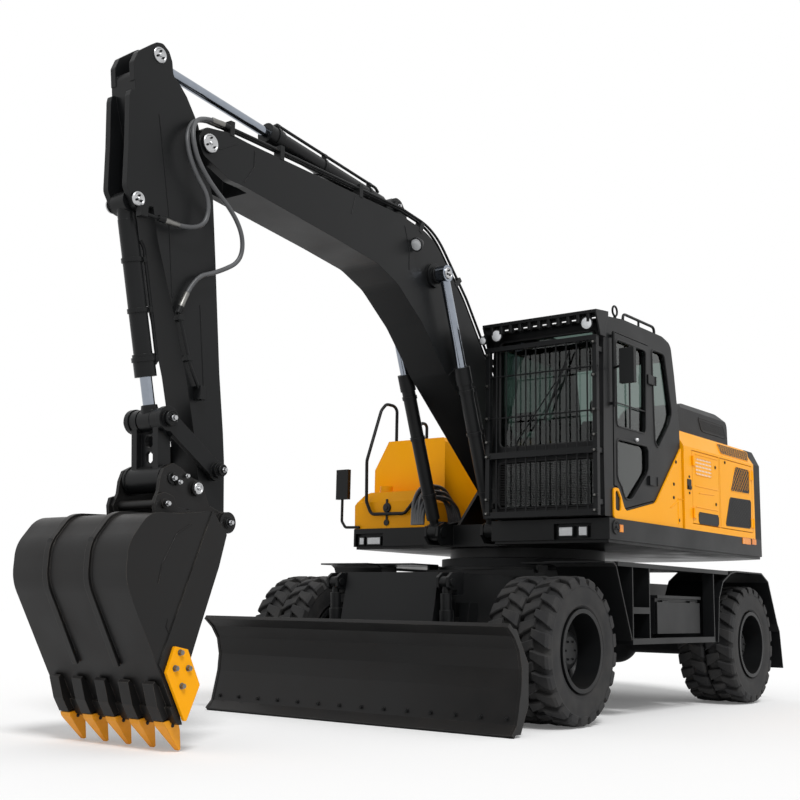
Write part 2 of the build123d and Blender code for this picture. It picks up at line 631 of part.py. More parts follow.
def cab_controls():
    """Side consoles with levers and the steering column."""
    z = DECK_TOP + 72
    pieces = []
    for y in ((450, 540), (1080, 1170)):
        console = block((240, 680), y, (z, 2020))
        middle = (y[0] + y[1]) / 2
        console += tube((620, middle, 2000), (650, middle, 2180), 18)
        pieces.append(console)
    column = tube((898, 810, z + 15), (790, 810, 2080), 35)
    column += tube((797, 810, 2060), (780, 810, 2100), 170)
    pieces.append(column)
    return pieces


GUARD_X = (1120.0, 1160.0)
GUARD_Y = (334.0, 1272.0)
GUARD_Z = (1421.0, 2715.0)


def cab_guard():
    """Front guard of the cab: frame, rails, upright bars and brackets; above it the roof visor."""
    y = GUARD_Y
    z = GUARD_Z
    body = block(GUARD_X, y, z)
    body -= block((1100, 1180), (y[0] + 34, y[1] - 34), (z[0] + 44, z[1] - 34))
    body += block(GUARD_X, y, (1862, 1908))
    count = 10
    for i in range(1, count + 1):
        bar_y = y[0] + (y[1] - y[0]) * i / (count + 1)
        body += tube((1140, bar_y, z[0] + 20), (1140, bar_y, z[1] - 20), 6)
    for bar_z in (2170, 2487):
        body += tube((1140, y[0] - 12, bar_z), (1140, y[1] + 4, bar_z), 6)
    for bar_y in (y[0] + 22, y[1] - 22):
        for low in (1500, 1866, 2600):
            body += block((1040, 1122), (bar_y - 18, bar_y + 18), (low, low + 36))
    body -= cab_block()
    visor = side_plate([(1000, 2884), (1190, 2868), (1190, 2892), (1000, 2912)], (CAB_Y[0] - 14, CAB_Y[1] + 14))
    for bar_y in (CAB_Y[0] - 14, CAB_Y[1] + 2):
        visor += side_plate([(1000, 2912), (1190, 2892), (1190, 2868), (1150, 2780), (1125, 2715), (1040, 2715),
                             (1040, 2800), (1000, 2884)], (bar_y, bar_y + 12))
    return [body, visor]


def handrails():
    """Right front rail that climbs over the tank, and a short grab loop on the hood."""
    r = 14
    route = [(705, -580, 1716), (715, -642, 1640), (720, -745, 1526), (720, -1100, 1530), (720, -1154, 1640),
             (720, -1160, 1990), (533, -1160, 2454), (462, -1160, 2520), (345, -1130, 2510), (345, -1130, 2186)]
    rail = pipe(route, r, [40, 60, 60, 60, 120, 120, 60, 60])
    rail += tube((690, -900, 1530), (722, -900, 1530), r)
    loop = pipe([(60, -1080, 2186), (60, -1080, 2400), (-40, -1080, 2400), (-40, -1080, 2186)], r, [40, 40])
    return [rail, loop]


def mirrors():
    """Right front and left cab mirrors with their poles."""
    right = pipe([(704, -1240, 1424), (722, -1379, 1426), (722, -1420, 1480), (722, -1420, 1700)], 12, [30, 30])
    right += block((700, 740), (-1480, -1350), (1667, 1925))
    left = tube((945, 1300, 2217), (945, 1300, 2764), 11)
    for z in (2240, 2740):
        left += block((935, 955), (CAB_Y[1], 1300), (z - 10, z + 10))
    left += tube((945, 1300, 2500), (1010, 1400, 2500), 9)
    left += block((990, 1030), (1385, 1500), (2366, 2620))
    return [right, left]


# ---------------------------------------------------------------- boom, stick, bucket
BOOM_OUTLINE = [(190, 1770), (1214, 3085), (1640, 3510), (2029, 3566), (3604, 3590), (3800, 3600), (3985, 3572),
                (4040, 3480), (3985, 3392), (3760, 3306), (3640, 3303), (2713, 3196), (2300, 3140), (2061, 3046),
                (1760, 2822), (1440, 2490), (430, 1640), (320, 1560), (200, 1600)]
LINE_YS = (122.0, 154.0)       # steel lines on top of the boom
LINE_R = 10.0
LINE_END = (3830.0, 3642.0)    # x, z of the lines' ends, where the hoses begin


def boom_block():
    """Outside of the boom's box as one solid."""
    radii = [90, 500, 500, 320, 200, 90, 60, 60, 60, 90, 90, 300, 300, 250, 250, 300, 60, 60, 60]
    return side_plate(BOOM_OUTLINE, (-BOOM_HALF, BOOM_HALF), radii)


def boom():
    """Bent box boom with its foot eye, forked nose and bosses."""
    body = boom_block()
    body += cross_bar(BOOM_CYL_PIN, (-BOOM_HALF - 24, BOOM_HALF + 24), 92)
    body += cross_bar(BOOM_CYL_PIN, (-BOOM_CYL_Y + 54, BOOM_CYL_Y - 54), 62)
    body -= block((3560, 4200), (-NOSE_SLOT_HALF, NOSE_SLOT_HALF), (3000, 3800))
    body -= cross_bar(BOOM_FOOT, (-BOOM_HALF - 1, BOOM_HALF + 1), 45 + PIN_GAP)
    body += cross_bar(BOOM_NOSE, (-BOOM_HALF - 14, BOOM_HALF + 14), 50)
    for _, side in SIDES:
        ear = [(1830, 3520), (1880, 3650), (1935, 3715), (1990, 3728), (2045, 3705), (2140, 3550)]
        body += side_plate(ear, pair(side, 60, 86), [1, 60, 60, 60, 60, 1])
    return body + cross_bar(ARM_CYL_FOOT, (-98, 98), 36)


def boom_lines():
    """Two steel lines that follow the boom's top, with the clamps that hold them."""
    pieces = []
    for y in LINE_YS:
        route = [(640, y, 2455), (1166, y, 3130), (1609, y, 3571), (2024, y, 3624), (3560, y, LINE_END[1]),
                 (LINE_END[0], y, LINE_END[1])]
        line = pipe(route, LINE_R, [560, 540, 380, 300])
        pieces.append(line + tube((LINE_END[0] - 60, y, LINE_END[1]), (LINE_END[0], y, LINE_END[1]), 17))
    # Clamps: foot on the boom's top (x, z) and the way out to the lines.
    for x, z, dx, dz in ((3760, 3590, 0, 1), (3310, 3580, 0, 1), (2500, 3565, 0, 1), (1800, 3500, -0.4, 0.92),
                         (1330, 3200, -0.72, 0.69), (900, 2680, -0.79, 0.61)):
        reach = 94
        pieces.append(Plane(origin=(x, 138, z), x_dir=(dz, 0, -dx), z_dir=(dx, 0, dz))
                      * Box(36, 60, reach, align=(Align.CENTER, Align.CENTER, Align.MIN)))
    body = pieces[0]
    for piece in pieces[1:]:
        body += piece
    return body - boom_block()


STICK_OUTLINE = [(4447, 3850), (4485, 3740), (4471, 3611), (4337, 3165), (4250, 2809), (4098, 2395), (3987, 2073),
                 (3902, 1743), (3850, 1480), (3796, 1240), (3765, 1160), (3672, 1150), (3630, 1230), (3648, 1595),
                 (3667, 1764), (3718, 2118), (3794, 2817), (3835, 3170), (3985, 3600), (4085, 3740), (4160, 3812),
                 (4300, 3870)]
ARM_EAR = [(4240, 3700), (4160, 3790), (4200, 3840), (4212, 3915), (4240, 3968), (4290, 3999), (4340, 3987),
           (4470, 3880), (4498, 3810), (4485, 3700)]
CYLINDER_BRACKET = [(4430, 3640), (4505, 3640), (4512, 3600), (4500, 3327), (4496, 3067), (4458, 3008), (4424, 2958),
                    (4363, 2945), (4325, 2990), (4280, 3000), (4337, 3165)]


def stick():
    """Stick with the heads for three cylinders and the bucket linkage."""
    radii = [30, 60, 200, 400, 400, 400, 400, 300, 300, 60, 30, 40, 30, 200, 300, 400, 400, 120, 120, 60, 30, 60]
    body = side_plate(STICK_OUTLINE, (-STICK_HALF, STICK_HALF), radii)
    body -= block((4030, 4700), (-62, 62), (3765, 4200))
    for _, side in SIDES:
        plate_y = pair(side, 62, STICK_HALF)
        body += side_plate(ARM_EAR, plate_y, [1, 20, 60, 50, 40, 40, 60, 40, 30, 1])
        body += side_plate(CYLINDER_BRACKET, plate_y, [1, 20, 20, 300, 60, 60, 40, 60, 30, 20, 1])
    body -= cross_bar(BOOM_NOSE, (-STICK_HALF - 1, STICK_HALF + 1), 50 + PIN_GAP)
    body -= cross_bar(BUCKET_PIN, (-STICK_HALF - 1, STICK_HALF + 1), 35 + PIN_GAP)
    body -= cross_bar(GUIDE_PIN, (-STICK_HALF - 1, STICK_HALF + 1), 30 + PIN_GAP)
    return body + cross_bar(BUCKET_CYL_FOOT, (-STICK_HALF - 12, STICK_HALF + 12), 32)


LONG_HOSE_END = ((4010, 150, 2640), (4078, 134, 2450))       # last run of the long hose
SHORT_HOSE_END = ((4000, 185, 2893), (4245, 150, 2918))      # last run of the short hose
GLAND_LENGTH = 46.0


def gland(run, r):
    """Round gland that begins where a hose ends and goes on in its direction."""
    start = Vector(*run[1])
    way = (start - Vector(*run[0])).normalized()
    end = start + way * GLAND_LENGTH
    return tube(tuple(start), tuple(end), r)


def stick_lines():
    """Glands and blocks on the stick's left side, the steel line below the long hose, and its valve."""
    y = LONG_HOSE_END[1][1]
    body = gland(LONG_HOSE_END, 19)
    route = [(4088, y, 2420), (4060, y, 2330), (3985, y, 2120), (3905, y, 1990)]
    body += pipe(route, LINE_R, [200, 200])
    for x, z in ((4077, 2385), (3998, 2160)):
        body += block((x - 20, x + 20), (STICK_HALF, y + 14), (z - 16, z + 16))
    valve = block((3868, 3916), (STICK_HALF, y + 24), (1930, 2010))
    short = gland(SHORT_HOSE_END, 19)
    x, _, z = SHORT_HOSE_END[1]
    short += tube((x + 44, 143, z + 4), (x + 132, 134, z + 6), LINE_R)
    short += block((x + 126, x + 174), (STICK_HALF, SHORT_HOSE_END[1][1]), (z - 14, z + 46))
    return [body + valve, short]


HOSE_R = 14.0
HOSE_START_X = LINE_END[0]
LONG_HOSE = [(HOSE_START_X, LINE_YS[1], LINE_END[1]), (4025, LINE_YS[1], LINE_END[1]), (4145, 216, 3470),
             (4050, 226, 3250), (3695, 206, 3050), (3645, 192, 2825), (3835, 172, 2705), *LONG_HOSE_END]
SHORT_HOSE = [(HOSE_START_X, LINE_YS[0], LINE_END[1]), (4010, LINE_YS[0], LINE_END[1]), (4150, 176, 3480),
              (4100, 192, 3280), (3925, 190, 3110), *SHORT_HOSE_END]


def hose(name, route):
    """Free hose as one round section along its route; the bend radii are printed."""
    radii = bends(route)
    print(name, "bend radii", [round(r) for r in radii])
    return pipe(route, HOSE_R, radii)


def link_plate(start, end, half_width, y):
    """Straight-sided link plate between two pins."""
    length = hypot(end[0] - start[0], end[1] - start[1])
    nx = -(end[1] - start[1]) / length * half_width
    nz = (end[0] - start[0]) / length * half_width
    corners = [(start[0] + nx, start[1] + nz), (end[0] + nx, end[1] + nz),
               (end[0] - nx, end[1] - nz), (start[0] - nx, start[1] - nz)]
    return side_plate(corners, y)


def guide_links():
    """Pair of links on the outside of the stick, with the pin through it and the stubs of the cross pin."""
    body = cross_bar(GUIDE_PIN, (-GUIDE_Y[1], GUIDE_Y[1]), 30)
    for _, side in SIDES:
        y = pair(side, *GUIDE_Y)
        body += link_plate(GUIDE_PIN, CROSS_PIN, 52, y)
        body += cross_bar(GUIDE_PIN, y, 60) + cross_bar(CROSS_PIN, y, 72)
        body += cross_bar(CROSS_PIN, pair(side, CROSS_STUB, GUIDE_Y[1] + 26), 32)
        body += cross_bar(CROSS_PIN, pair(side, GUIDE_Y[1], GUIDE_Y[1] + 8), 48)
        body += cross_bar(GUIDE_PIN, pair(side, GUIDE_Y[1], GUIDE_Y[1] + 30), 46)
        body += cross_bar(GUIDE_PIN, pair(side, GUIDE_Y[1], GUIDE_Y[1] + 48), 30)
    return body


def h_link():
    """Link from the cross pin down to the hitch: a wide lower tube, two plates and a web with two holes."""
    half = GUIDE_Y[0] - 6
    body = cross_bar(EAR_PIN, (-HITCH_Y[0] + 8, HITCH_Y[0] - 8), 76)
    for _, side in SIDES:
        body += cross_bar(EAR_PIN, pair(side, HITCH_Y[0] - 22, HITCH_Y[0] - 8), 82)
        y = pair(side, 68, half)
        body += link_plate(EAR_PIN, CROSS_PIN, 46, y)
        body += cross_bar(CROSS_PIN, pair(side, 60, half), 66)
    reach = hypot(EAR_PIN[0] - CROSS_PIN[0], EAR_PIN[1] - CROSS_PIN[1])
    start = along(CROSS_PIN, EAR_PIN, 78)
    end = along(CROSS_PIN, EAR_PIN, reach - 60)
    body += link_plate(start, end, 11, (-70, 70))
    for distance, r in ((122, 36), (212, 34)):
        x, z = along(CROSS_PIN, EAR_PIN, distance)
        body -= tube((x - 20, 0, z), (x + 20, 0, z), r)
    return body - cross_bar(CROSS_PIN, (-half - 1, half + 1), 32 + PIN_GAP)


REAR_PIN_R = 26.0
HITCH_OUTLINE = [(4208, 1440), (4185, 1500), (4118, 1534), (4050, 1510), (3985, 1468), (3915, 1450), (3870, 1395),
                 (3830, 1318), (3745, 1290), (3668, 1280), (3650, 1200), (3690, 1152), (3770, 1152), (3880, 1235),
                 (3990, 1285), (4090, 1275), (4150, 1256), (4232, 1256), (4246, 1300), (4215, 1370)]


def quick_hitch():
    """Hitch between the stick's end and the bucket: two plates, their pins' collars and a cross beam."""
    body = cross_bar(BUCKET_PIN, (-HITCH_Y[1], HITCH_Y[1]), 35)
    body += block((3950, 4075), (-HITCH_Y[1], HITCH_Y[1]), (1240, 1282))
    for _, side in SIDES:
        y = pair(side, *HITCH_Y)
        body += side_plate(HITCH_OUTLINE, y, 14)
        body += cross_bar(HITCH_PIN, pair(side, HITCH_Y[0], HITCH_Y[1] + 22), 44)
        body += cross_bar(BUCKET_PIN, y, 66)
        body += cross_bar((4112, 1462), pair(side, HITCH_Y[1], HITCH_Y[1] + 16), 16)
        body += cross_bar((4088, 1428), pair(side, HITCH_Y[1], HITCH_Y[1] + 16), 18)
    return body - cross_bar(REAR_PIN, (-LUG_Y[1], LUG_Y[1]), REAR_PIN_R + PIN_GAP)


BUCKET_LINE = [(4081, 1259), (4293, 1230), (4520, 1222), (4648, 1060), (4656, 870), (4249, 141)]
BUCKET_RADII = [300, 150, 180, 250]
BUCKET_PLATE = 22.0
LIP_END = BUCKET_LINE[-1]
LIP_WAY = (0.503, 0.864)       # from the lip up along the bucket's back
TOOTH_YS = (-385.0, -192.0, 0.0, 192.0, 385.0)
TOOTH_HALF = 42.0
ADAPTER_HALF = 27.0
STRAP_HALF = 40.0          # adapter behind the tooth


def bent_plate(points, thickness, y, radii):
    """Bent sheet along side-view points, with the same bends on both faces."""
    return side_plate(ribbon(points, thickness), y, [1, *radii, 1, 1, *radii[::-1], 1])


def lip_point(up, out):
    """Side-view point measured from the lip's end: up along the back, and out across it."""
    return (LIP_END[0] + LIP_WAY[0] * up + LIP_WAY[1] * out, LIP_END[1] + LIP_WAY[1] * up - LIP_WAY[0] * out)


def bucket_shell():
    """Bent plate from the hitch round the back to the lip."""
    return bent_plate(BUCKET_LINE, -BUCKET_PLATE, (-BUCKET_HALF, BUCKET_HALF), BUCKET_RADII)


def bucket():
    """Bucket shell with side plates, wrap ribs, hitch lugs, cutting edge and tooth adapters."""
    body = bucket_shell()
    mouth = [(4215, 420), (4142, 625), (4018, 960), (3969, 1137)]
    for _, side in SIDES:
        y = pair(side, BUCKET_HALF - BUCKET_PLATE, BUCKET_HALF)
        body += side_plate(BUCKET_LINE + mouth, y, [10, *BUCKET_RADII, 5, 60, 60, 100, 25])
        strip = [(4081, 1259), (3969, 1137), (4018, 960), (4142, 625), (4215, 420), (4300, 300), (4412, 449)]
        body += side_plate(strip, pair(side, BUCKET_HALF, BUCKET_HALF + 7))
        lug = [(3656, 1200), (3660, 1262), (3720, 1288), (3900, 1262), (4090, 1290), (4124, 1346), (4188, 1364),
               (4246, 1344), (4258, 1300), (4246, 1215), (4060, 1200), (3920, 1120), (3760, 1160), (3690, 1165)]
        body += side_plate(lug, pair(side, *LUG_Y), 10)
        body += cross_bar(BUCKET_PIN, pair(side, LUG_Y[0], LUG_Y[1] + 26), 62)
        body += cross_bar(BUCKET_PIN, pair(side, LUG_Y[1], LUG_Y[1] + 34), 36)
        rib = bent_plate(BUCKET_LINE[1:-1] + [(4420, 435)], 14, pair(side, 150, 190), BUCKET_RADII[1:])
        body += rib
    body += cross_bar(REAR_PIN, (-LUG_Y[1] - 12, LUG_Y[1] + 12), REAR_PIN_R)
    body += lip_edge()
    for y in TOOTH_YS:
        body += adapter(y)
    return body


def lip_edge():
    """Cutting edge along the whole lip."""
    edge = [lip_point(0, -2), lip_point(-10, -20), lip_point(90, -34), lip_point(110, -20), lip_point(110, 12),
            lip_point(20, 12)]
    return side_plate(edge, (-BUCKET_HALF, BUCKET_HALF))


def adapter(y):
    """Holder that one tooth is pushed on."""
    nose = [lip_point(0, -26), lip_point(80, -26), lip_point(80, 36), lip_point(0, 34), lip_point(-32, 16),
            lip_point(-32, -20)]
    strap = [lip_point(52, -30), lip_point(150, -26), lip_point(262, 8), lip_point(256, 26), lip_point(140, 52),
             lip_point(52, 50)]
    body = side_plate(nose, (y - ADAPTER_HALF, y + ADAPTER_HALF))
    return body + side_plate(strap, (y - STRAP_HALF, y + STRAP_HALF))


def bucket_teeth():
    """Five teeth with sockets for the adapters; each narrows to its tip."""
    side_view = [lip_point(44, 46), lip_point(20, 50), lip_point(-155, 8), lip_point(-157, -6),
                 lip_point(-60, -34), lip_point(12, -40)]
    front_view = [(-42, 90), (42, 90), (40, 0), (14, -160), (-14, -160), (-40, 0)]
    reach = 120
    lip_plane = Plane(origin=(LIP_END[0], 0, LIP_END[1]), x_dir=(0, 1, 0), z_dir=(LIP_WAY[1], 0, -LIP_WAY[0]))
    taper = lip_plane * extrude(make_face(Polyline(*front_view, close=True)), reach, both=True)
    block_of_tooth = side_plate(side_view, (-TOOTH_HALF, TOOTH_HALF)) & taper
    block_of_tooth -= bucket_shell() + lip_edge() + adapter(0)
    return [Pos(0, y, 0) * block_of_tooth for y in TOOTH_YS]


def side_cutters():
    """Bolt-on cutters on the bucket's two lower front corners."""
    outline = [(4325, 543), (4234, 525), (4138, 341), (4228, 147), (4375, 409)]
    return [side_plate(outline, pair(side, BUCKET_HALF + 7, BUCKET_HALF + 25), 12) for _, side in SIDES]


# ---------------------------------------------------------------- nodes and export
nodes = {
    "chassis_frame": chassis_frame(),
    "slew_ring": slew_ring(),
    "front_axle": front_axle(),
    "rear_axle": rear_axle(),
    "driveline": driveline(),
    "fenders": fenders(),
    "side_decks": side_decks(),
    "toolboxes": toolboxes(),
    "dozer_blade": dozer_blade(),
    "upper_frame": upper_frame(),
    "counterweight": counterweight(),
    "engine_block": engine_block(),
    "engine_housing": engine_housing(),
    "hood_door_front_left": hood_door(LEFT_DOORS[0], 1, LEFT_DOORS[0][1]),
    "hood_door_rear_left": hood_door(LEFT_DOORS[1], 1, LEFT_DOORS[1][0]),
    "hood_door_right": hood_door(RIGHT_DOOR, -1, RIGHT_DOOR[1]),
    "hood_lid": hood_lid(),
    "fuel_tank": fuel_tank(),
    "air_box": air_box(),
    "cab_shell": cab_shell(),
    "cab_glass": cab_glass(),
    "cab_door": cab_door(),
    "cab_door_glass": cab_door_glass(),
    "operator_seat": operator_seat(),
    "cab_controls": cab_controls(),
    "cab_guard": cab_guard(),
    "handrails": handrails(),
    "mirrors": mirrors(),
    "boom": boom(),
    "boom_lines": boom_lines(),
    "long_hose": hose("long_hose", LONG_HOSE),
    "short_hose": hose("short_hose", SHORT_HOSE),
    "stick": stick(),
    "stick_lines": stick_lines(),
    "guide_links": guide_links(),
    "h_link": h_link(),
    "quick_hitch": quick_hitch(),
    "bucket": bucket(),
    "bucket_teeth": bucket_teeth(),
    "side_cutters": side_cutters(),
}
nodes["blade_cylinder_barrels"], nodes["blade_cylinder_rods"] = blade_cylinder_parts()

for name, side in SIDES:
    nodes[f"toolbox_door_{name}"] = toolbox_door(side)
    nodes[f"steering_knuckle_{name}"] = steering_knuckle(side)
    for end, x in (("front", FRONT_AXLE_X), ("rear", REAR_AXLE_X)):
        nodes[f"tyres_{end}_{name}"] = tyre_pair(x, side)
        nodes[f"rims_{end}_{name}"] = rim_pair(x, side)

# Cylinders of the boom, the stick and the bucket. Columns: name, foot, pin, ys, barrel radius,
# rod radius, barrel length, rod start, foot pin radius, eye half width.
CYLINDERS = (
    ("boom", BOOM_CYL_FOOT, BOOM_CYL_PIN, (BOOM_CYL_Y, -BOOM_CYL_Y), 52, 36, 1270, 800, 38, 38),
    ("arm", ARM_CYL_FOOT, ARM_CYL_PIN, (0,), 60, 33, 1320, 1040, 36, 54),
    ("bucket", BUCKET_CYL_FOOT, CROSS_PIN, (0,), 54, 35, 1000, 222, 32, 54),
)
for name, foot, pin, ys, r, rod_r, length, start, pin_r, eye_half in CYLINDERS:
    barrels = []
    rods = []
    for y in ys:
        barrels.append(barrel(foot, pin, y, r, rod_r, length, pin_r + 30, eye_half, pin_r))
        rods.append(rod(foot, pin, y, rod_r, start, rod_r + 26, eye_half))
    plural = "s" if len(ys) > 1 else ""
    nodes[f"{name}_cylinder_barrel{plural}"] = barrels
    nodes[f"{name}_cylinder_rod{plural}"] = rods

os.makedirs("parts", exist_ok=True)
for name, shape in nodes.items():
    solids = []
    for piece in shape if isinstance(shape, list) else [shape]:
        solids += piece.solids()
    moved = [Pos(-MIDDLE_X, 0, 0) * solid for solid in solids]
    export_step(Compound(children=moved) if len(moved) > 1 else moved[0], f"parts/{name}.step")
    print(name, len(moved))
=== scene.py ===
# %% [markdown]
# # A wheeled excavator
# The real machine weighs about fourteen tonnes, stands on eight tyres and carries a two-part arm.
# Its steelwork is already here as a fixed frame of named nodes, so this lesson adds what a plain
# solid lacks: tread, bolts, meshes, lamps, seals, hoses, a soft seat and all the finishes.

# %% load the fixed frame
import bpy
import bmesh
import json
import math
from mathutils import Matrix, Vector
from mathutils.bvhtree import BVHTree

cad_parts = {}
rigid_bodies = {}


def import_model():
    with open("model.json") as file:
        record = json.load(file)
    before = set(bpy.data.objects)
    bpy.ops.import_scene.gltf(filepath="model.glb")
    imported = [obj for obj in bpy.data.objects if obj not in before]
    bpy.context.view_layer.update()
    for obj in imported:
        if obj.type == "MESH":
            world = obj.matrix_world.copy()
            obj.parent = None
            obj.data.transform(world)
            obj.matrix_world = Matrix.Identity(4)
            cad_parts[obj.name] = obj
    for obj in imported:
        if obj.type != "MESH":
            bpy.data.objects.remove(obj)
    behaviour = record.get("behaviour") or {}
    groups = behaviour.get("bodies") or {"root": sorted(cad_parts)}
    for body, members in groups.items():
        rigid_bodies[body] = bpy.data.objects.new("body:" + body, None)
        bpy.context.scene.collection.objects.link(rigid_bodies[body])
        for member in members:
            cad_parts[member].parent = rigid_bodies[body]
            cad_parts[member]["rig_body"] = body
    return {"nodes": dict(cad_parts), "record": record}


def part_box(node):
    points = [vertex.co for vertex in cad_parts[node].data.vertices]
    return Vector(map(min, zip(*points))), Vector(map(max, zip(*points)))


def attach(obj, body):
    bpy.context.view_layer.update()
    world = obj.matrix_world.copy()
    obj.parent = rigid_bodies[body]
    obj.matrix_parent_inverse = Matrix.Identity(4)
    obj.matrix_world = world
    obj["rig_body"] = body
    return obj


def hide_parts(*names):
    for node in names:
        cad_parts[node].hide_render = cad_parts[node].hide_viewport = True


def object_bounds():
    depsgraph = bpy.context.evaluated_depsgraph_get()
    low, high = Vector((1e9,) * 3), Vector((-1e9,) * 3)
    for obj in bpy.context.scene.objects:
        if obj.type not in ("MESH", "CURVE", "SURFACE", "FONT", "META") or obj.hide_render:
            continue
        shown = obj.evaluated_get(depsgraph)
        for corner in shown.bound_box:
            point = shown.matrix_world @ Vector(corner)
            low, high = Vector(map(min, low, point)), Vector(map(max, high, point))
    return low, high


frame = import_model()
nodes = frame["nodes"]
cad_box = [list(corner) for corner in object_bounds()]
ring_low, ring_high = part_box("slew_ring")
SLEW_X = (ring_low.x + ring_high.x) / 2
print("nodes", len(nodes), "box", [[round(v, 3) for v in corner] for corner in cad_box])

# %% millimetres from the slewing axis
def at(x, y, z):
    """Point in metres, from millimetres measured from the slewing axis at ground level."""
    return Vector((SLEW_X + x / 1000, y / 1000, z / 1000))


print("boom foot", at(300, 0, 1690))

# %% [markdown]
# ## The camera
# A camera decides what has to be finished first. This one stands low in front of the left side,
# well below the cab floor, and looks slightly up, so the arm towers over the machine.
# A matrix is used because its three columns are simply the right, up and backward directions.

# %% camera
CAMERA_PLACE = (8635, 5197, 767)
TURN, TILT, ROLL = math.radians(217.22), math.radians(9.82), math.radians(1.04)
forward = Vector((math.cos(TURN) * math.cos(TILT), math.sin(TURN) * math.cos(TILT), math.sin(TILT)))
level_right = Vector((math.sin(TURN), -math.cos(TURN), 0))
level_up = level_right.cross(forward)
right = level_right * math.cos(ROLL) + level_up * math.sin(ROLL)
up = level_up * math.cos(ROLL) - level_right * math.sin(ROLL)
camera = bpy.data.objects.new("camera", bpy.data.cameras.new("camera"))
bpy.context.scene.collection.objects.link(camera)
facing = Matrix((right, up, -forward)).transposed().to_4x4()
camera.matrix_world = Matrix.Translation(at(*CAMERA_PLACE)) @ facing
camera.data.sensor_width = 36
camera.data.lens = 53.6
bpy.context.scene.camera = camera
print("camera", camera.matrix_world.translation)

# %% [markdown]
# ## Colours and nodes
# Paint charts give a colour as it looks on a screen, but a shader adds light in linear values,
# so one function turns the written value into the linear one. A second one adds a node with its
# settings, fixed values and links, and every finish and every node tree below is built with it.

# %% colour and node helpers
def linear(colour):
    """Linear RGBA from an sRGB hex value such as 'FFB020'."""
    shown = [int(colour[i:i + 2], 16) / 255 for i in (0, 2, 4)]
    return (*[v / 12.92 if v <= 0.04045 else ((v + 0.055) / 1.055) ** 2.4 for v in shown], 1)


def put(tree, kind, values=None, links=None, **settings):
    """Adds one node: its settings, its fixed socket values and its incoming links."""
    node = tree.nodes.new(kind)
    for name, value in settings.items():
        setattr(node, name, value)
    for socket, value in (values or {}).items():
        node.inputs[socket].default_value = value
    for socket, source in (links or {}).items():
        tree.links.new(source, node.inputs[socket])
    return node


print("yellow in linear values", [round(v, 3) for v in linear("FFB020")])

# %% [markdown]
# ## The light
# Dark paint needs something pale to reflect, and yellow paint clips to white under strong lamps.
# So an even white sky at little more than half strength does most of the work, and one soft sun above
# the left front corner separates tops, sides and fronts. The sky shows as plain white to the eye, in
# gloss and in glass.

# %% sky and sun
SKY_LIGHT = 0.55        # what the sky gives to matt surfaces, where 1 is white
SUN_FROM = (0.50, 0.62, 0.95)
world = bpy.data.worlds.new("studio_sky")
bpy.context.scene.world = world
world.use_nodes = True
sky = world.node_tree
sky.nodes.clear()
path = put(sky, "ShaderNodeLightPath")
seen = put(sky, "ShaderNodeMath", links={0: path.outputs["Is Camera Ray"],
                                         1: path.outputs["Is Transmission Ray"]}, operation="MAXIMUM")
mirrored = put(sky, "ShaderNodeMath", links={0: seen.outputs[0], 1: path.outputs["Is Glossy Ray"]},
               operation="MAXIMUM")
strength = put(sky, "ShaderNodeMath", {1: 1 - SKY_LIGHT, 2: SKY_LIGHT}, {0: mirrored.outputs[0]},
               operation="MULTIPLY_ADD")
backdrop = put(sky, "ShaderNodeBackground", {"Color": (1, 1, 1, 1)}, {"Strength": strength.outputs[0]})
put(sky, "ShaderNodeOutputWorld", links={"Surface": backdrop.outputs[0]})
lamp = bpy.data.lights.new("soft_sun", "SUN")
lamp.energy = 1.75
lamp.angle = math.radians(14)
sun = bpy.data.objects.new("soft_sun", lamp)
bpy.context.scene.collection.objects.link(sun)
sun.rotation_euler = Vector(SUN_FROM).to_track_quat("Z", "Y").to_euler()
bpy.context.scene.view_settings.view_transform = "Standard"
print("sun", lamp.energy)

# %% floor
FLOOR_HALF = 60.0
floor_z = min(0.0, cad_box[0][2])
floor_corners = [(x * FLOOR_HALF, y * FLOOR_HALF, floor_z) for x, y in ((-1, -1), (1, -1), (1, 1), (-1, 1))]
floor_mesh = bpy.data.meshes.new("floor")
floor_mesh.from_pydata(floor_corners, [], [(0, 1, 2, 3)])
floor = bpy.data.objects.new("floor", floor_mesh)
bpy.context.scene.collection.objects.link(floor)
floor_look = bpy.data.materials.new("pale_studio_floor")
floor_look.use_nodes = True
tree = floor_look.node_tree
tree.nodes.clear()
path = put(tree, "ShaderNodeLightPath")
glow = put(tree, "ShaderNodeMath", {1: 0.10}, {0: path.outputs["Is Camera Ray"]}, operation="MULTIPLY")
lit = put(tree, "ShaderNodeBsdfDiffuse", {"Color": linear("F8F8F8")})
white = put(tree, "ShaderNodeEmission", {"Color": (1, 1, 1, 1)}, {"Strength": glow.outputs[0]})
both = put(tree, "ShaderNodeAddShader", links={0: lit.outputs[0], 1: white.outputs[0]})
put(tree, "ShaderNodeOutputMaterial", links={"Surface": both.outputs[0]})
floor_mesh.materials.append(floor_look)
print("floor at", floor_z)

# %% [markdown]
# ## Finishes
# Sprayed machine paint is the main one. The gun leaves a slow drift in colour, the gloss has a fine
# orange peel, and hands, hoses and stones rub the paint off the edges first. The Bevel node knows
# where an edge is: it gives a rounded normal there, and its difference from the flat one is the wear.

# %% sprayed paint
def new_finish(name):
    """Empty material with a Principled shader: (material, tree, shader)."""
    material = bpy.data.materials.new(name)
    material.use_nodes = True
    tree = material.node_tree
    tree.nodes.clear()
    shader = put(tree, "ShaderNodeBsdfPrincipled")
    put(tree, "ShaderNodeOutputMaterial", links={"Surface": shader.outputs[0]})
    return material, tree, shader


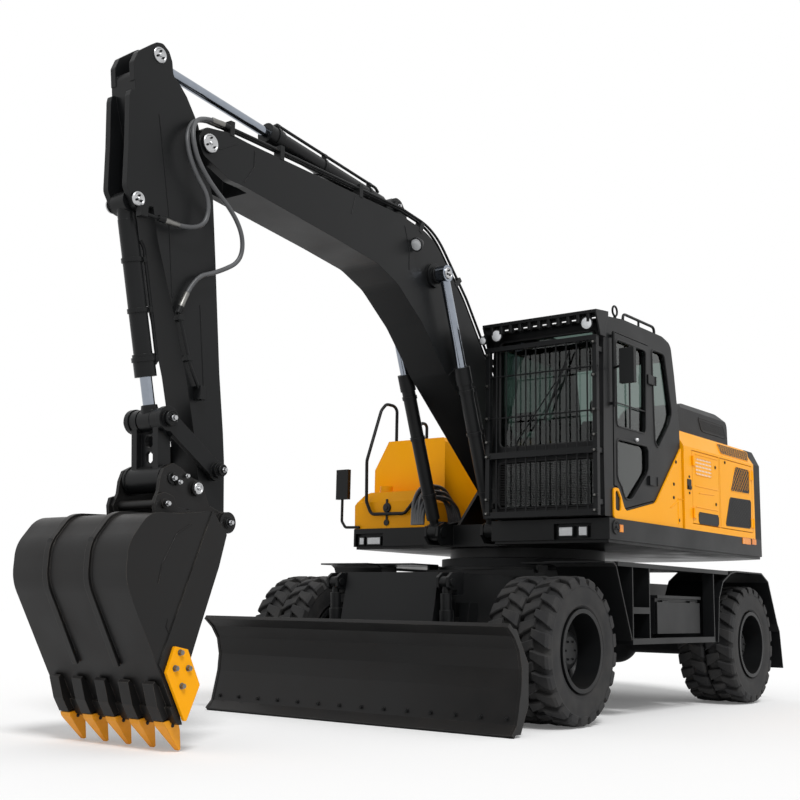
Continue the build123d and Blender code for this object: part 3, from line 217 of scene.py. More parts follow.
def sprayed(name, colour, drifted, rubbed, rough, drift_mm, peel_mm, peel, wear, painted_top_light=None, coat=0.0,
            shine=0.5):
    """Paint on metal: two close colours that drift, rubbed edges, orange peel, and a painted highlight that
    lightens upward faces in patches.
    """
    material, tree, shader = new_finish(name)
    place = put(tree, "ShaderNodeTexCoord").outputs["Object"]
    drift = put(tree, "ShaderNodeTexNoise", {"Scale": 1000 / drift_mm, "Detail": 4.0}, {"Vector": place})
    grain = put(tree, "ShaderNodeTexNoise", {"Scale": 1000 / peel_mm, "Detail": 2.0}, {"Vector": place})
    body = put(tree, "ShaderNodeMix", {6: linear(colour), 7: linear(drifted)}, {0: drift.outputs["Fac"]},
               data_type="RGBA")
    rounded = put(tree, "ShaderNodeBevel", {"Radius": 0.004}, samples=4)
    flat = put(tree, "ShaderNodeNewGeometry")
    turn = put(tree, "ShaderNodeVectorMath", links={0: rounded.outputs[0], 1: flat.outputs["Normal"]},
               operation="DOT_PRODUCT")
    edge = put(tree, "ShaderNodeMapRange", {"From Min": 0.97, "From Max": 0.78, "To Max": wear},
               {"Value": turn.outputs["Value"]})
    chips = put(tree, "ShaderNodeMapRange", {"From Min": 0.42, "From Max": 0.62},
                {"Value": drift.outputs["Fac"]})
    amount = put(tree, "ShaderNodeMath", links={0: edge.outputs[0], 1: chips.outputs[0]},
                 operation="MULTIPLY")
    worn = put(tree, "ShaderNodeMix", {7: linear(rubbed)}, {0: amount.outputs[0], 6: body.outputs[2]},
               data_type="RGBA")
    top = worn.outputs[2]
    # Upward faces are painted lighter in patches: a painted highlight of the light from above.
    if painted_top_light:
        way = put(tree, "ShaderNodeSeparateXYZ", links={0: flat.outputs["Normal"]})
        top_light_amount = put(tree, "ShaderNodeMapRange", {"From Min": 0.55, "From Max": 1.0, "To Max": 0.35},
                     {"Value": way.outputs["Z"]})
        patchy_top_light = put(tree, "ShaderNodeMath", links={0: top_light_amount.outputs[0], 1: drift.outputs["Fac"]},
                     operation="MULTIPLY")
        top = put(tree, "ShaderNodeMix", {7: linear(painted_top_light)}, {0: patchy_top_light.outputs[0], 6: top},
                  data_type="RGBA").outputs[2]
    matt = put(tree, "ShaderNodeMapRange", {"From Min": 0.3, "From Max": 0.7, "To Min": rough - 0.06,
                                            "To Max": rough + 0.08}, {"Value": drift.outputs["Fac"]})
    bump = put(tree, "ShaderNodeBump", {"Strength": peel, "Distance": 0.0006},
               {"Height": grain.outputs["Fac"], "Normal": rounded.outputs[0]})
    shader.inputs["Coat Weight"].default_value = coat
    shader.inputs["Coat Roughness"].default_value = 0.12
    shader.inputs["Specular IOR Level"].default_value = shine
    for socket, source in (("Base Color", top), ("Roughness", matt.outputs[0]), ("Normal", bump.outputs[0])):
        tree.links.new(source, shader.inputs[socket])
    return material


# Satin powder coat on steel plate: nearly black, a soft broad highlight, edges rubbed to mid grey. Its tops
# get a painted highlight.
dark_steel = sprayed("satin_powder_coated_steel", "0E0F10", "151617", "5A5855", 0.38, 420, 3.5, 0.20, 0.30,
                     painted_top_light="34322F", shine=0.20)
# Gloss two-pack enamel on pressed sheet: deep yellow under a clear, sharp reflection.
yellow_enamel = sprayed("gloss_yellow_machine_enamel", "FFB00C", "FBA504", "C77A06", 0.34, 650, 5.0, 0.10,
                        0.25, coat=0.03, shine=0.12)
# Digging steel: the same dark coat, thinner, scoured along its edges and browned in patches. Its tops get a
# lighter, browner painted highlight.
scoured_steel = sprayed("scoured_digging_steel", "101112", "1A1817", "7B766E", 0.42, 240, 3.0, 0.32, 0.60,
                        painted_top_light="3B342D", shine=0.24)
# Sand-cast iron under thick paint: a coarse skin that breaks the highlight into grains. Its tops get a
# painted highlight.
cast_iron = sprayed("painted_sand_cast_iron", "17181A", "202122", "4C4946", 0.55, 300, 9.0, 0.60, 0.20,
                    painted_top_light="3A3733", shine=0.22)
# Tooth castings: yellow enamel over rough steel, so the grain of the mould shows through the paint.
tooth_enamel = sprayed("yellow_enamel_on_castings", "F7A60E", "E09208", "6E6252", 0.44, 60, 6.0, 0.45, 0.75,
                       shine=0.4)
print("painted finishes", [m.name for m in (dark_steel, yellow_enamel, scoured_steel, cast_iron,
                                            tooth_enamel)])

# %% [markdown]
# ## Bare metals
# Machined steel has no paint to hide its turning marks, and hard chrome has almost none left: it is
# ground and polished until it mirrors the sky in long streaks. Both are metals, so their colour sits
# in the reflection, and the roughness alone tells one from the other.

# %% bare metals
def metal(name, colour, drifted, rough, grain_mm, relief):
    """Bare metal with a slow tint, faint scratches round its roughness, and a fine relief."""
    material, tree, shader = new_finish(name)
    place = put(tree, "ShaderNodeTexCoord").outputs["Object"]
    tint = put(tree, "ShaderNodeTexNoise", {"Scale": 22.0, "Detail": 3.0}, {"Vector": place})
    marks = put(tree, "ShaderNodeTexNoise", {"Scale": 1000 / grain_mm, "Detail": 2.0}, {"Vector": place})
    body = put(tree, "ShaderNodeMix", {6: linear(colour), 7: linear(drifted)}, {0: tint.outputs["Fac"]},
               data_type="RGBA")
    matt = put(tree, "ShaderNodeMapRange", {"To Min": rough * 0.7, "To Max": rough * 1.4},
               {"Value": marks.outputs["Fac"]})
    bump = put(tree, "ShaderNodeBump", {"Strength": relief, "Distance": 0.0004},
               {"Height": marks.outputs["Fac"]})
    shader.inputs["Metallic"].default_value = 1.0
    for socket, source in (("Base Color", body.outputs[2]), ("Roughness", matt.outputs[0]),
                           ("Normal", bump.outputs[0])):
        tree.links.new(source, shader.inputs[socket])
    return material


# Hard chrome on a ground rod: blue-grey, mirror-bright, with the softest of streaks.
hard_chrome = metal("hard_chrome_on_ground_rod", "9CA2AB", "868D98", 0.13, 6.0, 0.05)
# Turned steel of pins and discs: pale, with the lathe's fine relief.
turned_steel = metal("turned_bright_steel", "C9CACB", "A7A8AA", 0.30, 2.0, 0.20)
# Zinc plate on bolts and fittings: duller and slightly warm.
zinc_plate = metal("zinc_plated_steel", "8F8E8A", "6D6C6A", 0.38, 3.0, 0.20)
print("metals", hard_chrome.name, turned_steel.name, zinc_plate.name)

# %% [markdown]
# ## Rubber, plastic, cloth and glass
# Rubber and moulded plastic differ from paint in where their light goes: it scatters in a matt skin
# instead of a gloss, and what is left is the grain of the mould. Glass is the only finish that lets
# light through, so its colour is thin: each pane is crossed twice and takes its tint each time.

# %% moulded finishes
def moulded(name, colour, greyed, rough, grain_mm, relief, shine=0.4):
    """Moulded rubber or plastic: pale bloom in patches over a pebbled skin."""
    material, tree, shader = new_finish(name)
    place = put(tree, "ShaderNodeTexCoord").outputs["Object"]
    bloom = put(tree, "ShaderNodeTexNoise", {"Scale": 7.0, "Detail": 5.0}, {"Vector": place})
    pebbles = put(tree, "ShaderNodeTexNoise", {"Scale": 1000 / grain_mm, "Detail": 3.0}, {"Vector": place})
    rounded = put(tree, "ShaderNodeBevel", {"Radius": 0.003}, samples=4)
    patch = put(tree, "ShaderNodeMapRange", {"From Min": 0.4, "From Max": 0.75},
                {"Value": bloom.outputs["Fac"]})
    body = put(tree, "ShaderNodeMix", {6: linear(colour), 7: linear(greyed)}, {0: patch.outputs[0]},
               data_type="RGBA")
    matt = put(tree, "ShaderNodeMapRange", {"To Min": rough - 0.08, "To Max": rough + 0.08},
               {"Value": bloom.outputs["Fac"]})
    bump = put(tree, "ShaderNodeBump", {"Strength": relief, "Distance": 0.001},
               {"Height": pebbles.outputs["Fac"], "Normal": rounded.outputs[0]})
    shader.inputs["Specular IOR Level"].default_value = shine
    for socket, source in (("Base Color", body.outputs[2]), ("Roughness", matt.outputs[0]),
                           ("Normal", bump.outputs[0])):
        tree.links.new(source, shader.inputs[socket])
    return material


# Carbon-black tyre rubber, moulded in a steel tool: dead matt, greyed where dust sits in the skin.
tyre_rubber = moulded("moulded_tyre_rubber", "242425", "363534", 0.72, 4.0, 0.35, shine=0.3)
# Hose cover with an impression of its cloth wrap: greyer and smoother than a tyre.
hose_cover = moulded("wrapped_hose_rubber", "47484A", "5A5B5D", 0.42, 5.0, 0.35, shine=0.5)
# Seal rubber round the glass: smooth and deep black.
seal_rubber = moulded("extruded_seal_rubber", "141415", "1D1D1E", 0.55, 6.0, 0.10)
# Grained ABS of consoles and the air box: grey-black with a leather-like grain.
grained_abs = moulded("grained_black_abs", "131415", "1C1D1F", 0.50, 3.0, 0.30, shine=0.25)
# Black for wire, slats, locks, pins and handle pockets, and painted shade in vent pockets and holes, where
# hardly any light returns.
black_and_painted_shade = moulded("black_parts_and_painted_shade", "0C0C0D", "131314", 0.60, 3.0, 0.10)
# Polycarbonate reflectors and the roof marker, moulded with small prisms that make the colour glow.
amber_plastic = moulded("amber_reflector_polycarbonate", "E07C08", "F59A1C", 0.25, 5.0, 0.40)
print("moulded finishes", tyre_rubber.name, hose_cover.name, grained_abs.name)

# %% glass, lamps and cloth
# Laminated cab glass with a dark green body tint, smooth enough to mirror the sky at a low angle.
cab_pane, tree, shader = new_finish("green_tinted_cab_glass")
place = put(tree, "ShaderNodeTexCoord").outputs["Object"]
film = put(tree, "ShaderNodeTexNoise", {"Scale": 3.0, "Detail": 3.0}, {"Vector": place})
tint = put(tree, "ShaderNodeMix", {6: linear("5C6C66"), 7: linear("54655F")}, {0: film.outputs["Fac"]},
           data_type="RGBA")
tree.links.new(tint.outputs[2], shader.inputs["Base Color"])
shader.inputs["Roughness"].default_value = 0.0
shader.inputs["Transmission Weight"].default_value = 1.0
shader.inputs["IOR"].default_value = 1.5
shader.inputs["Specular IOR Level"].default_value = 0.15

# Clear lamp lens over a bright reflector: a pale, glossy face with pressed ribs.
lamp_lens, tree, shader = new_finish("ribbed_clear_lamp_lens")
place = put(tree, "ShaderNodeTexCoord").outputs["Object"]
ribs = put(tree, "ShaderNodeTexWave", {"Scale": 40.0, "Distortion": 0.6}, {"Vector": place},
           bands_direction="Y")
tone = put(tree, "ShaderNodeMix", {6: linear("F4F5F6"), 7: linear("B9BDC1")}, {0: ribs.outputs["Fac"]},
           data_type="RGBA")
bump = put(tree, "ShaderNodeBump", {"Strength": 0.5, "Distance": 0.002}, {"Height": ribs.outputs["Fac"]})
tree.links.new(tone.outputs[2], shader.inputs["Base Color"])
tree.links.new(bump.outputs[0], shader.inputs["Normal"])
shader.inputs["Roughness"].default_value = 0.12
shader.inputs["Coat Weight"].default_value = 1.0

# Woven seat cloth: threads about 2 mm apart, drawn 12 mm apart so that they show, with a dusty sheen.
seat_cloth, tree, shader = new_finish("woven_seat_cloth")
place = put(tree, "ShaderNodeTexCoord").outputs["Object"]
warp = put(tree, "ShaderNodeTexWave", {"Scale": 26.0, "Distortion": 0.4}, {"Vector": place},
           bands_direction="Y")
weft = put(tree, "ShaderNodeTexWave", {"Scale": 26.0, "Distortion": 0.4}, {"Vector": place},
           bands_direction="Z")
cross = put(tree, "ShaderNodeMath", links={0: warp.outputs["Fac"], 1: weft.outputs["Fac"]},
            operation="MULTIPLY")
tone = put(tree, "ShaderNodeMix", {6: linear("1C1D20"), 7: linear("34363A")}, {0: cross.outputs[0]},
           data_type="RGBA")
bump = put(tree, "ShaderNodeBump", {"Strength": 0.6, "Distance": 0.002}, {"Height": cross.outputs[0]})
tree.links.new(tone.outputs[2], shader.inputs["Base Color"])
tree.links.new(bump.outputs[0], shader.inputs["Normal"])
shader.inputs["Roughness"].default_value = 0.85
shader.inputs["Sheen Weight"].default_value = 0.3
print("clear and woven finishes", cab_pane.name, lamp_lens.name, seat_cloth.name)

# %% [markdown]
# ## Dressing the frame
# Each node of the frame names a slot, such as frame paint or rod chrome, so one table dresses them all.
# A few nodes then get a finish of their own where the real part is made or worked differently: the
# bucket, the hitch and the blade are scoured by soil, the teeth are castings under yellow enamel, and
# the slewing ring is cast iron.

# %% finishes of the frame's nodes
SLOT_FINISH = {"frame_paint": dark_steel, "body_paint": yellow_enamel, "cast_metal": cast_iron,
               "plain_steel": turned_steel, "rod_chrome": hard_chrome, "tyre_rubber": tyre_rubber,
               "cab_glass": cab_pane, "seat_cloth": seat_cloth, "trim_plastic": grained_abs,
               "hose_rubber": hose_cover}
OWN_FINISH = {"bucket": scoured_steel, "dozer_blade": scoured_steel, "bucket_teeth": tooth_enamel,
              "slew_ring": cast_iron, "quick_hitch": scoured_steel}
for part in frame["record"]["subparts"]:
    name = part["node"]
    skin = nodes[name].data
    skin.materials.clear()
    skin.materials.append(OWN_FINISH.get(name, SLOT_FINISH[part["material_slot"]]))

# %% [markdown]
# ## The two free hoses
# Two hydraulic hoses leave the boom's steel lines beside the nose and hang in loops to the stick.
# A hose is rubber round steel wire, so it leaves its fitting straight and bends in wide arcs.
# A NURBS curve through a few guide points gives that, because its bend is spread over each corner.

# %% hoses on the nose
HOSE_DIAMETER = 0.028
LONG_ROUTE = ((3830, 154, 3642), (4025, 154, 3642), (4145, 216, 3470), (4050, 226, 3250), (3695, 206, 3050),
              (3645, 192, 2825), (3835, 172, 2705), (4010, 150, 2640), (4078, 134, 2450))
SHORT_ROUTE = ((3830, 122, 3642), (4010, 122, 3642), (4150, 176, 3480), (4100, 192, 3280), (3925, 190, 3110),
               (4000, 185, 2893), (4245, 150, 2918))


def free_hose(name, route, stands_for):
    """Hose along its route, one open NURBS spline with a round section; gives its middle line."""
    line = bpy.data.curves.new(name, "CURVE")
    line.dimensions = "3D"
    spline = line.splines.new("NURBS")
    spline.points.add(len(route) - 1)
    for point, place in zip(spline.points, route):
        point.co = (*at(*place), 1)
    spline.order_u = 3
    spline.use_endpoint_u = True
    spline.resolution_u = 16
    line.bevel_depth = HOSE_DIAMETER / 2
    line.bevel_resolution = 4
    line.use_fill_caps = True
    line.materials.append(hose_cover)
    hose = bpy.data.objects.new(name, line)
    bpy.context.scene.collection.objects.link(hose)
    bpy.context.view_layer.update()
    plain = line.copy()
    plain.bevel_depth = 0
    probe = bpy.data.objects.new("probe", plain)
    bpy.context.scene.collection.objects.link(probe)
    traced = bpy.data.meshes.new_from_object(probe)
    steps = [v.co.copy() for v in traced.vertices]
    bpy.data.objects.remove(probe)
    bpy.data.meshes.remove(traced)
    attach(hose, "boom")
    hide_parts(stands_for)
    return steps


long_steps = free_hose("nose_hose_long", LONG_ROUTE, "long_hose")
short_steps = free_hose("nose_hose_short", SHORT_ROUTE, "short_hose")

# %% [markdown]
# ## Mesh helpers
# Most small parts of a machine are cut from bar, turned on a lathe or bent from tube. Three helpers
# follow those trades: a block between pairs of coordinates, a profile swept round an axis, and a tube
# along a path. Each one gives a closed skin, with no face left open at an end or a pole.

# %% block, lathe and tube
def piece_from(name, mesh, body, finish=None, smooth=40):
    """Object for a finished mesh: one material, smooth up to an angle, riding on its body."""
    if finish:
        mesh.materials.clear()
        mesh.materials.append(finish)
    piece = bpy.data.objects.new(name, mesh)
    bpy.context.scene.collection.objects.link(piece)
    mesh.shade_smooth()
    mesh.set_sharp_from_angle(angle=math.radians(smooth))
    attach(piece, body)
    return piece


def mesh_from(name, shape):
    """Mesh from a bmesh, its faces turned outwards."""
    bmesh.ops.recalc_face_normals(shape, faces=shape.faces)
    mesh = bpy.data.meshes.new(name)
    shape.to_mesh(mesh)
    shape.free()
    return mesh


def box(shape, x, y, z):
    """Block between pairs of coordinates in mm."""
    outline = [(x[0], z[0]), (x[1], z[0]), (x[1], z[1]), (x[0], z[1])]
    first, last = [[shape.verts.new(at(a, side, c)) for a, c in outline] for side in y]
    shape.faces.new(first)
    shape.faces.new(last[::-1])
    for i in range(4):
        j = (i + 1) % 4
        shape.faces.new((first[j], first[i], last[i], last[j]))


def eased(shape, radius_mm, segments=2):
    """Rounds all edges of the blocks in a bmesh."""
    bmesh.ops.bevel(shape, geom=shape.edges[:], offset=radius_mm / 1000, segments=segments, affect="EDGES")


def turned(shape, profile, centre, way=(0, 1, 0), steps=32, closed=False):
    """Profile of (radius, distance along the axis) in mm, swept round an axis through a centre."""
    axis = Vector(way).normalized()
    side = axis.orthogonal().normalized()
    other = axis.cross(side)
    middle = at(*centre)
    rings = []
    for r, along in profile:
        if r == 0:
            rings.append([shape.verts.new(middle + axis * along / 1000)] * steps)
            continue
        rings.append([shape.verts.new(middle + axis * along / 1000 + (side * math.cos(math.tau * i / steps)
                      + other * math.sin(math.tau * i / steps)) * r / 1000) for i in range(steps)])
    pairs = list(zip(rings, rings[1:])) + ([(rings[-1], rings[0])] if closed else [])
    for one, two in pairs:
        for i in range(steps):
            j = (i + 1) % steps
            corners = [one[i], one[j], two[j], two[i]]
            unique = [v for k, v in enumerate(corners) if v not in corners[:k]]
            if len(unique) > 2:
                shape.faces.new(unique)


def tube_along(name, path, r, rounding=40, sides=3):
    """Mesh of a round tube along points in mm; its corners are rounded, its ends are closed."""
    line = bpy.data.curves.new(name, "CURVE")
    line.dimensions = "3D"
    spline = line.splines.new("POLY")
    points = [Vector(path[0])]
    for before, here, after in zip(path, path[1:], path[2:]):
        a, b, c = Vector(before), Vector(here), Vector(after)
        cut = min(rounding, (b - a).length * 0.45, (c - b).length * 0.45)
        start, end = b + (a - b).normalized() * cut, b + (c - b).normalized() * cut
        points += [start.lerp(b, t).lerp(b.lerp(end, t), t) for t in (0, 0.25, 0.5, 0.75, 1)]
    points.append(Vector(path[-1]))
    spline.points.add(len(points) - 1)
    for point, place in zip(spline.points, points):
        point.co = (*at(*place), 1)
    line.bevel_depth = r / 1000
    line.bevel_resolution = sides
    line.use_fill_caps = True
    host = bpy.data.objects.new(name, line)
    bpy.context.scene.collection.objects.link(host)
    bpy.context.view_layer.update()
    mesh = bpy.data.meshes.new_from_object(host.evaluated_get(bpy.context.evaluated_depsgraph_get()))
    bpy.data.objects.remove(host)
    return mesh


def joined(name, meshes):
    """One mesh from several, which stay apart inside it and are then removed."""
    shape = bmesh.new()
    for mesh in meshes:
        shape.from_mesh(mesh)
        bpy.data.meshes.remove(mesh)
    mesh = bpy.data.meshes.new(name)
    shape.to_mesh(mesh)
    shape.free()
    return mesh


print("helpers ready")

# %% [markdown]
# ## Growing repeats with Geometry Nodes
# Tread blocks, bolts, studs, mesh and weld beads are the same small shape again and again, so a node
# tree places them from a few named sizes. The tree runs once on a seed mesh, its result becomes a
# plain mesh, and the modifier goes away, which keeps the finished piece light and portable.

# %% how a tree is built and run
def new_tree(name, *sizes):
    """Node group with a geometry input, named sizes as (label, kind), and the finish it ends with."""
    tree = bpy.data.node_groups.new(name, "GeometryNodeTree")
    tree.interface.new_socket("Geometry", in_out="INPUT", socket_type="NodeSocketGeometry")
    for label, kind in (*sizes, ("Finish", "Material")):
        tree.interface.new_socket(label, in_out="INPUT", socket_type="NodeSocket" + kind)
    tree.interface.new_socket("Geometry", in_out="OUTPUT", socket_type="NodeSocketGeometry")
    return tree, put(tree, "NodeGroupInput").outputs


def end_tree(tree, given, geometry):
    """Ends a tree: its instances become real and take the finish."""
    real = put(tree, "GeometryNodeRealizeInstances", links={"Geometry": geometry})
    dressed = put(tree, "GeometryNodeSetMaterial",
                  links={"Geometry": real.outputs[0], "Material": given["Finish"]})
    put(tree, "NodeGroupOutput", links={"Geometry": dressed.outputs[0]})


def grow(name, seed, tree, **sizes):
    """Runs a tree on a seed mesh with its sizes and gives the result as a plain mesh."""
    host = bpy.data.objects.new(name, seed)
    bpy.context.scene.collection.objects.link(host)
    modifier = host.modifiers.new("grow", "NODES")
    modifier.node_group = tree
    for item in tree.interface.items_tree:
        if item.in_out == "INPUT" and item.name in sizes:
            modifier[item.identifier] = sizes[item.name]
    bpy.context.view_layer.update()
    mesh = bpy.data.meshes.new_from_object(host.evaluated_get(bpy.context.evaluated_depsgraph_get()))
    host.modifiers.clear()
    bpy.data.objects.remove(host)
    mesh.name = name
    return mesh


# %% a shape repeated round an axis
around, given = new_tree("repeat_round_an_axis", ("Count", "Int"), ("Axis", "Vector"), ("Centre", "Vector"))
back = put(around, "ShaderNodeVectorMath", {"Scale": -1.0}, {0: given["Centre"]}, operation="SCALE")
seed_home = put(around, "GeometryNodeTransform",
                links={"Geometry": given["Geometry"], "Translation": back.outputs[0]})
spots = put(around, "GeometryNodePoints", links={"Count": given["Count"], "Position": given["Centre"]})
number = put(around, "GeometryNodeInputIndex")
part_turn = put(around, "ShaderNodeMath", {0: math.tau}, {1: given["Count"]}, operation="DIVIDE")
angle = put(around, "ShaderNodeMath", links={0: number.outputs[0], 1: part_turn.outputs[0]},
            operation="MULTIPLY")
spin = put(around, "ShaderNodeVectorMath", links={0: given["Axis"], "Scale": angle.outputs[0]},
           operation="SCALE")
copies = put(around, "GeometryNodeInstanceOnPoints", links={"Points": spots.outputs[0],
             "Instance": seed_home.outputs[0], "Rotation": spin.outputs[0]})
end_tree(around, given, copies.outputs[0])
print("tree", around.name)

# %% [markdown]
# ## Tyres
# Each wheel carries two narrow tyres side by side, with a gap between them. The carcass is turned from
# one profile, and its lugs are moulded in two rows, half a pitch apart, that slant down towards the
# middle. One lug is modelled on the carcass's curve, and a tree repeats it round the wheel.

# %% the carcass
CORNERS = ("front_left", "front_right", "rear_left", "rear_right")
TYRE_R = 495
TWIN_PITCH = 246
CARCASS_HALF = [(277, 88), (285, 98), (296, 105), (301, 108.5), (306, 107), (330, 113), (372, 118),
                (412, 117), (427, 116.5), (431, 118), (437, 113), (446, 106), (458, 94), (463, 84), (464, 40)]
CARCASS = [(r, -across) for r, across in CARCASS_HALF] + CARCASS_HALF[::-1]


def carcass(shape, centre):
    """Closed ring of rubber from the bead over the sidewalls to the tread base."""
    turned(shape, CARCASS, centre, steps=72, closed=True)


print("carcass profile points", len(CARCASS))

# %% one lug of the tread
LUGS = 22
LUG_SHOULDER = 92       # length round the wheel at the shoulder, mm
LUG_INNER = 56          # and at its inner end
LUG_SLANT = 52          # how much lower the inner end lies
LUG_HEEL = 112          # distance from the middle at which the slant begins
LUG_REACH = 120         # and the width over which it grows


def lug(shape, centre, side, lead):
    """Tapering block from the shoulder to just past the middle of the tread, following the tyre's curve."""
    stations = [(118, 424, 440, LUG_SHOULDER - 8, 6), (116, 434, 474, LUG_SHOULDER, 4),
                (100, 450, 490, LUG_SHOULDER, 4),
                (60, 458, TYRE_R - 0.5, (LUG_SHOULDER + LUG_INNER) / 2, 5),
                (-8, 458, TYRE_R - 1, LUG_INNER, 6)]
    rows = []
    for across, base, top, length, draft in stations:
        slant = LUG_SLANT * (LUG_HEEL - across) / LUG_REACH + lead
        row = []
        for r, spread in ((base, length / 2 + draft), (top - 7, length / 2 + 1.5), (top, length / 2 - 6)):
            row.append([(r, slant - spread), (r, slant + spread)])
        loop = [row[0][0], row[1][0], row[2][0], row[2][1], row[1][1], row[0][1]]
        ring = []
        for r, s in loop:
            a = -s / TYRE_R
            ring.append(shape.verts.new(at(centre[0] + r * math.sin(a), centre[1] + side * across,
                                           centre[2] + r * math.cos(a))))
        rows.append(ring)
    for one, two in zip(rows, rows[1:]):
        for i in range(6):
            j = (i + 1) % 6
            shape.faces.new((one[i], one[j], two[j], two[i]))
    shape.faces.new(rows[0])
    shape.faces.new(rows[-1][::-1])


# %% tread of all eight tyres
def wheel_centre(node):
    """Centre of a wheel's pair of tyres in mm, from the frame's own node."""
    low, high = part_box(node)
    middle = (low + high) / 2 * 1000
    return middle.x - SLEW_X * 1000, middle.y, TYRE_R


for corner in CORNERS:
    x, y, z = wheel_centre("tyres_" + corner)
    lugs = []
    shape = bmesh.new()
    for offset in (-TWIN_PITCH / 2, TWIN_PITCH / 2):
        centre = (x, y + offset, z)
        carcass(shape, centre)
        for side in (-1, 1):
            seed = bmesh.new()
            lug(seed, centre, side, 0 if side > 0 else math.pi * TYRE_R / LUGS)
            lugs.append(grow("lugs", mesh_from("lug", seed), around, Count=LUGS, Axis=(0, 1, 0),
                             Centre=at(*centre), Finish=tyre_rubber))
    rubber = joined("tyre_pair_" + corner, [mesh_from("carcass", shape), *lugs])
    tyre = piece_from("tyre_pair_" + corner, rubber, "wheels_" + corner, tyre_rubber, 32)
    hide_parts("tyres_" + corner)
    print(tyre.name, "centre", round(x), round(y), "faces", len(rubber.polygons))

# %% [markdown]
# ## Bolts, meshes and weld beads
# A hexagon bolt is a washer and a six-sided head, set wherever a point says, facing the point's own
# direction. A vent is a sheet's outline filled with a net of wire or with rows of holes: the tree lays
# a grid over the outline and keeps what falls inside. A weld bead is a rippled tube along a seam.

# %% bolt tree
bolt_tree, given = new_tree("hexagon_bolts")
washer = put(bolt_tree, "GeometryNodeMeshCylinder", {"Vertices": 12, "Radius": 1.0, "Depth": 0.4})
head = put(bolt_tree, "GeometryNodeMeshCylinder", {"Vertices": 6, "Radius": 0.82, "Depth": 1.2})
raised = put(bolt_tree, "GeometryNodeTransform", {"Translation": (0, 0, 0.6)}, {"Geometry": head.outputs[0]})
bolt = put(bolt_tree, "GeometryNodeJoinGeometry")
bolt_tree.links.new(washer.outputs[0], bolt.inputs[0])
bolt_tree.links.new(raised.outputs[0], bolt.inputs[0])
size = put(bolt_tree, "GeometryNodeInputNamedAttribute", {"Name": "size"}, data_type="FLOAT")
way = put(bolt_tree, "GeometryNodeInputNamedAttribute", {"Name": "way"}, data_type="FLOAT_VECTOR")
aim = put(bolt_tree, "FunctionNodeAlignRotationToVector", links={"Vector": way.outputs[0]}, axis="Z")
copies = put(bolt_tree, "GeometryNodeInstanceOnPoints", links={"Points": given["Geometry"],
             "Instance": bolt.outputs[0], "Rotation": aim.outputs[0], "Scale": size.outputs[0]})
end_tree(bolt_tree, given, copies.outputs[0])


def bolts(name, body, places, finish=zinc_plate):
    """Bolts on one body; each place is (point in mm, direction, washer radius in mm)."""
    seed = bpy.data.meshes.new(name)
    seed.from_pydata([at(*p) for p, _, _ in places], [], [])
    seed.attributes.new("way", "FLOAT_VECTOR", "POINT").data.foreach_set(
        "vector", [v for _, d, _ in places for v in d])
    seed.attributes.new("size", "FLOAT", "POINT").data.foreach_set("value", [s / 1000 for _, _, s in places])
    return piece_from(name, grow(name, seed, bolt_tree, Finish=finish), body, None, 30)


print("tree", bolt_tree.name)

# %% net and hole trees
def grid_inside(tree, given):
    """Grid over the outline's face, turned by an angle; points outside the outline are deleted."""
    limits = put(tree, "GeometryNodeBoundBox", links={0: given["Geometry"]})
    total = put(tree, "ShaderNodeVectorMath", links={0: limits.outputs["Min"], 1: limits.outputs["Max"]})
    middle = put(tree, "ShaderNodeVectorMath", {"Scale": 0.5}, {0: total.outputs[0]}, operation="SCALE")
    span = put(tree, "ShaderNodeVectorMath", links={0: limits.outputs["Max"], 1: limits.outputs["Min"]},
               operation="DISTANCE")
    count = put(tree, "ShaderNodeMath", links={0: span.outputs["Value"], 1: given["Pitch"]},
                operation="DIVIDE")
    grid = put(tree, "GeometryNodeMeshGrid",
               links={"Size X": span.outputs["Value"], "Size Y": span.outputs["Value"],
               "Vertices X": count.outputs[0], "Vertices Y": count.outputs[0]})
    angle = put(tree, "ShaderNodeCombineXYZ", links={"Z": given["Turn"]})
    laid = put(tree, "GeometryNodeTransform",
               links={"Geometry": grid.outputs[0], "Translation": middle.outputs[0],
               "Rotation": angle.outputs[0]})
    spot = put(tree, "GeometryNodeInputPosition")
    above = put(tree, "ShaderNodeVectorMath", {1: (0, 0, 0.1)}, {0: spot.outputs[0]})
    ray = put(tree, "GeometryNodeRaycast", {"Ray Direction": (0, 0, -1), "Ray Length": 1.0},
              {"Target Geometry": given["Geometry"], "Source Position": above.outputs[0]})
    missed = put(tree, "FunctionNodeBooleanMath", links={0: ray.outputs["Is Hit"]}, operation="NOT")
    return put(tree, "GeometryNodeDeleteGeometry",
               links={"Geometry": laid.outputs[0], "Selection": missed.outputs[0]})


net_tree, given = new_tree("wire_net", ("Pitch", "Float"), ("Turn", "Float"), ("Wire", "Float"))
kept = grid_inside(net_tree, given)
lines = put(net_tree, "GeometryNodeMeshToCurve", links={0: kept.outputs[0]})
section = put(net_tree, "GeometryNodeCurvePrimitiveCircle", {"Resolution": 4}, {"Radius": given["Wire"]})
wires = put(net_tree, "GeometryNodeCurveToMesh",
            links={0: lines.outputs[0], "Profile Curve": section.outputs[0]})
end_tree(net_tree, given, wires.outputs[0])

# Rows of studs: raised studs on the walkways, and black studs as painted shade in the holes of the hood door.
stud_tree, given = new_tree("rows_of_studs", ("Pitch", "Float"), ("Turn", "Float"), ("Radius", "Float"),
                            ("Height", "Float"))
kept = grid_inside(stud_tree, given)
stud = put(stud_tree, "GeometryNodeMeshCylinder", {"Vertices": 8}, {"Radius": given["Radius"],
           "Depth": given["Height"]})
copies = put(stud_tree, "GeometryNodeInstanceOnPoints", links={"Points": kept.outputs[0],
             "Instance": stud.outputs[0]})
end_tree(stud_tree, given, copies.outputs[0])
print("trees", net_tree.name, stud_tree.name)

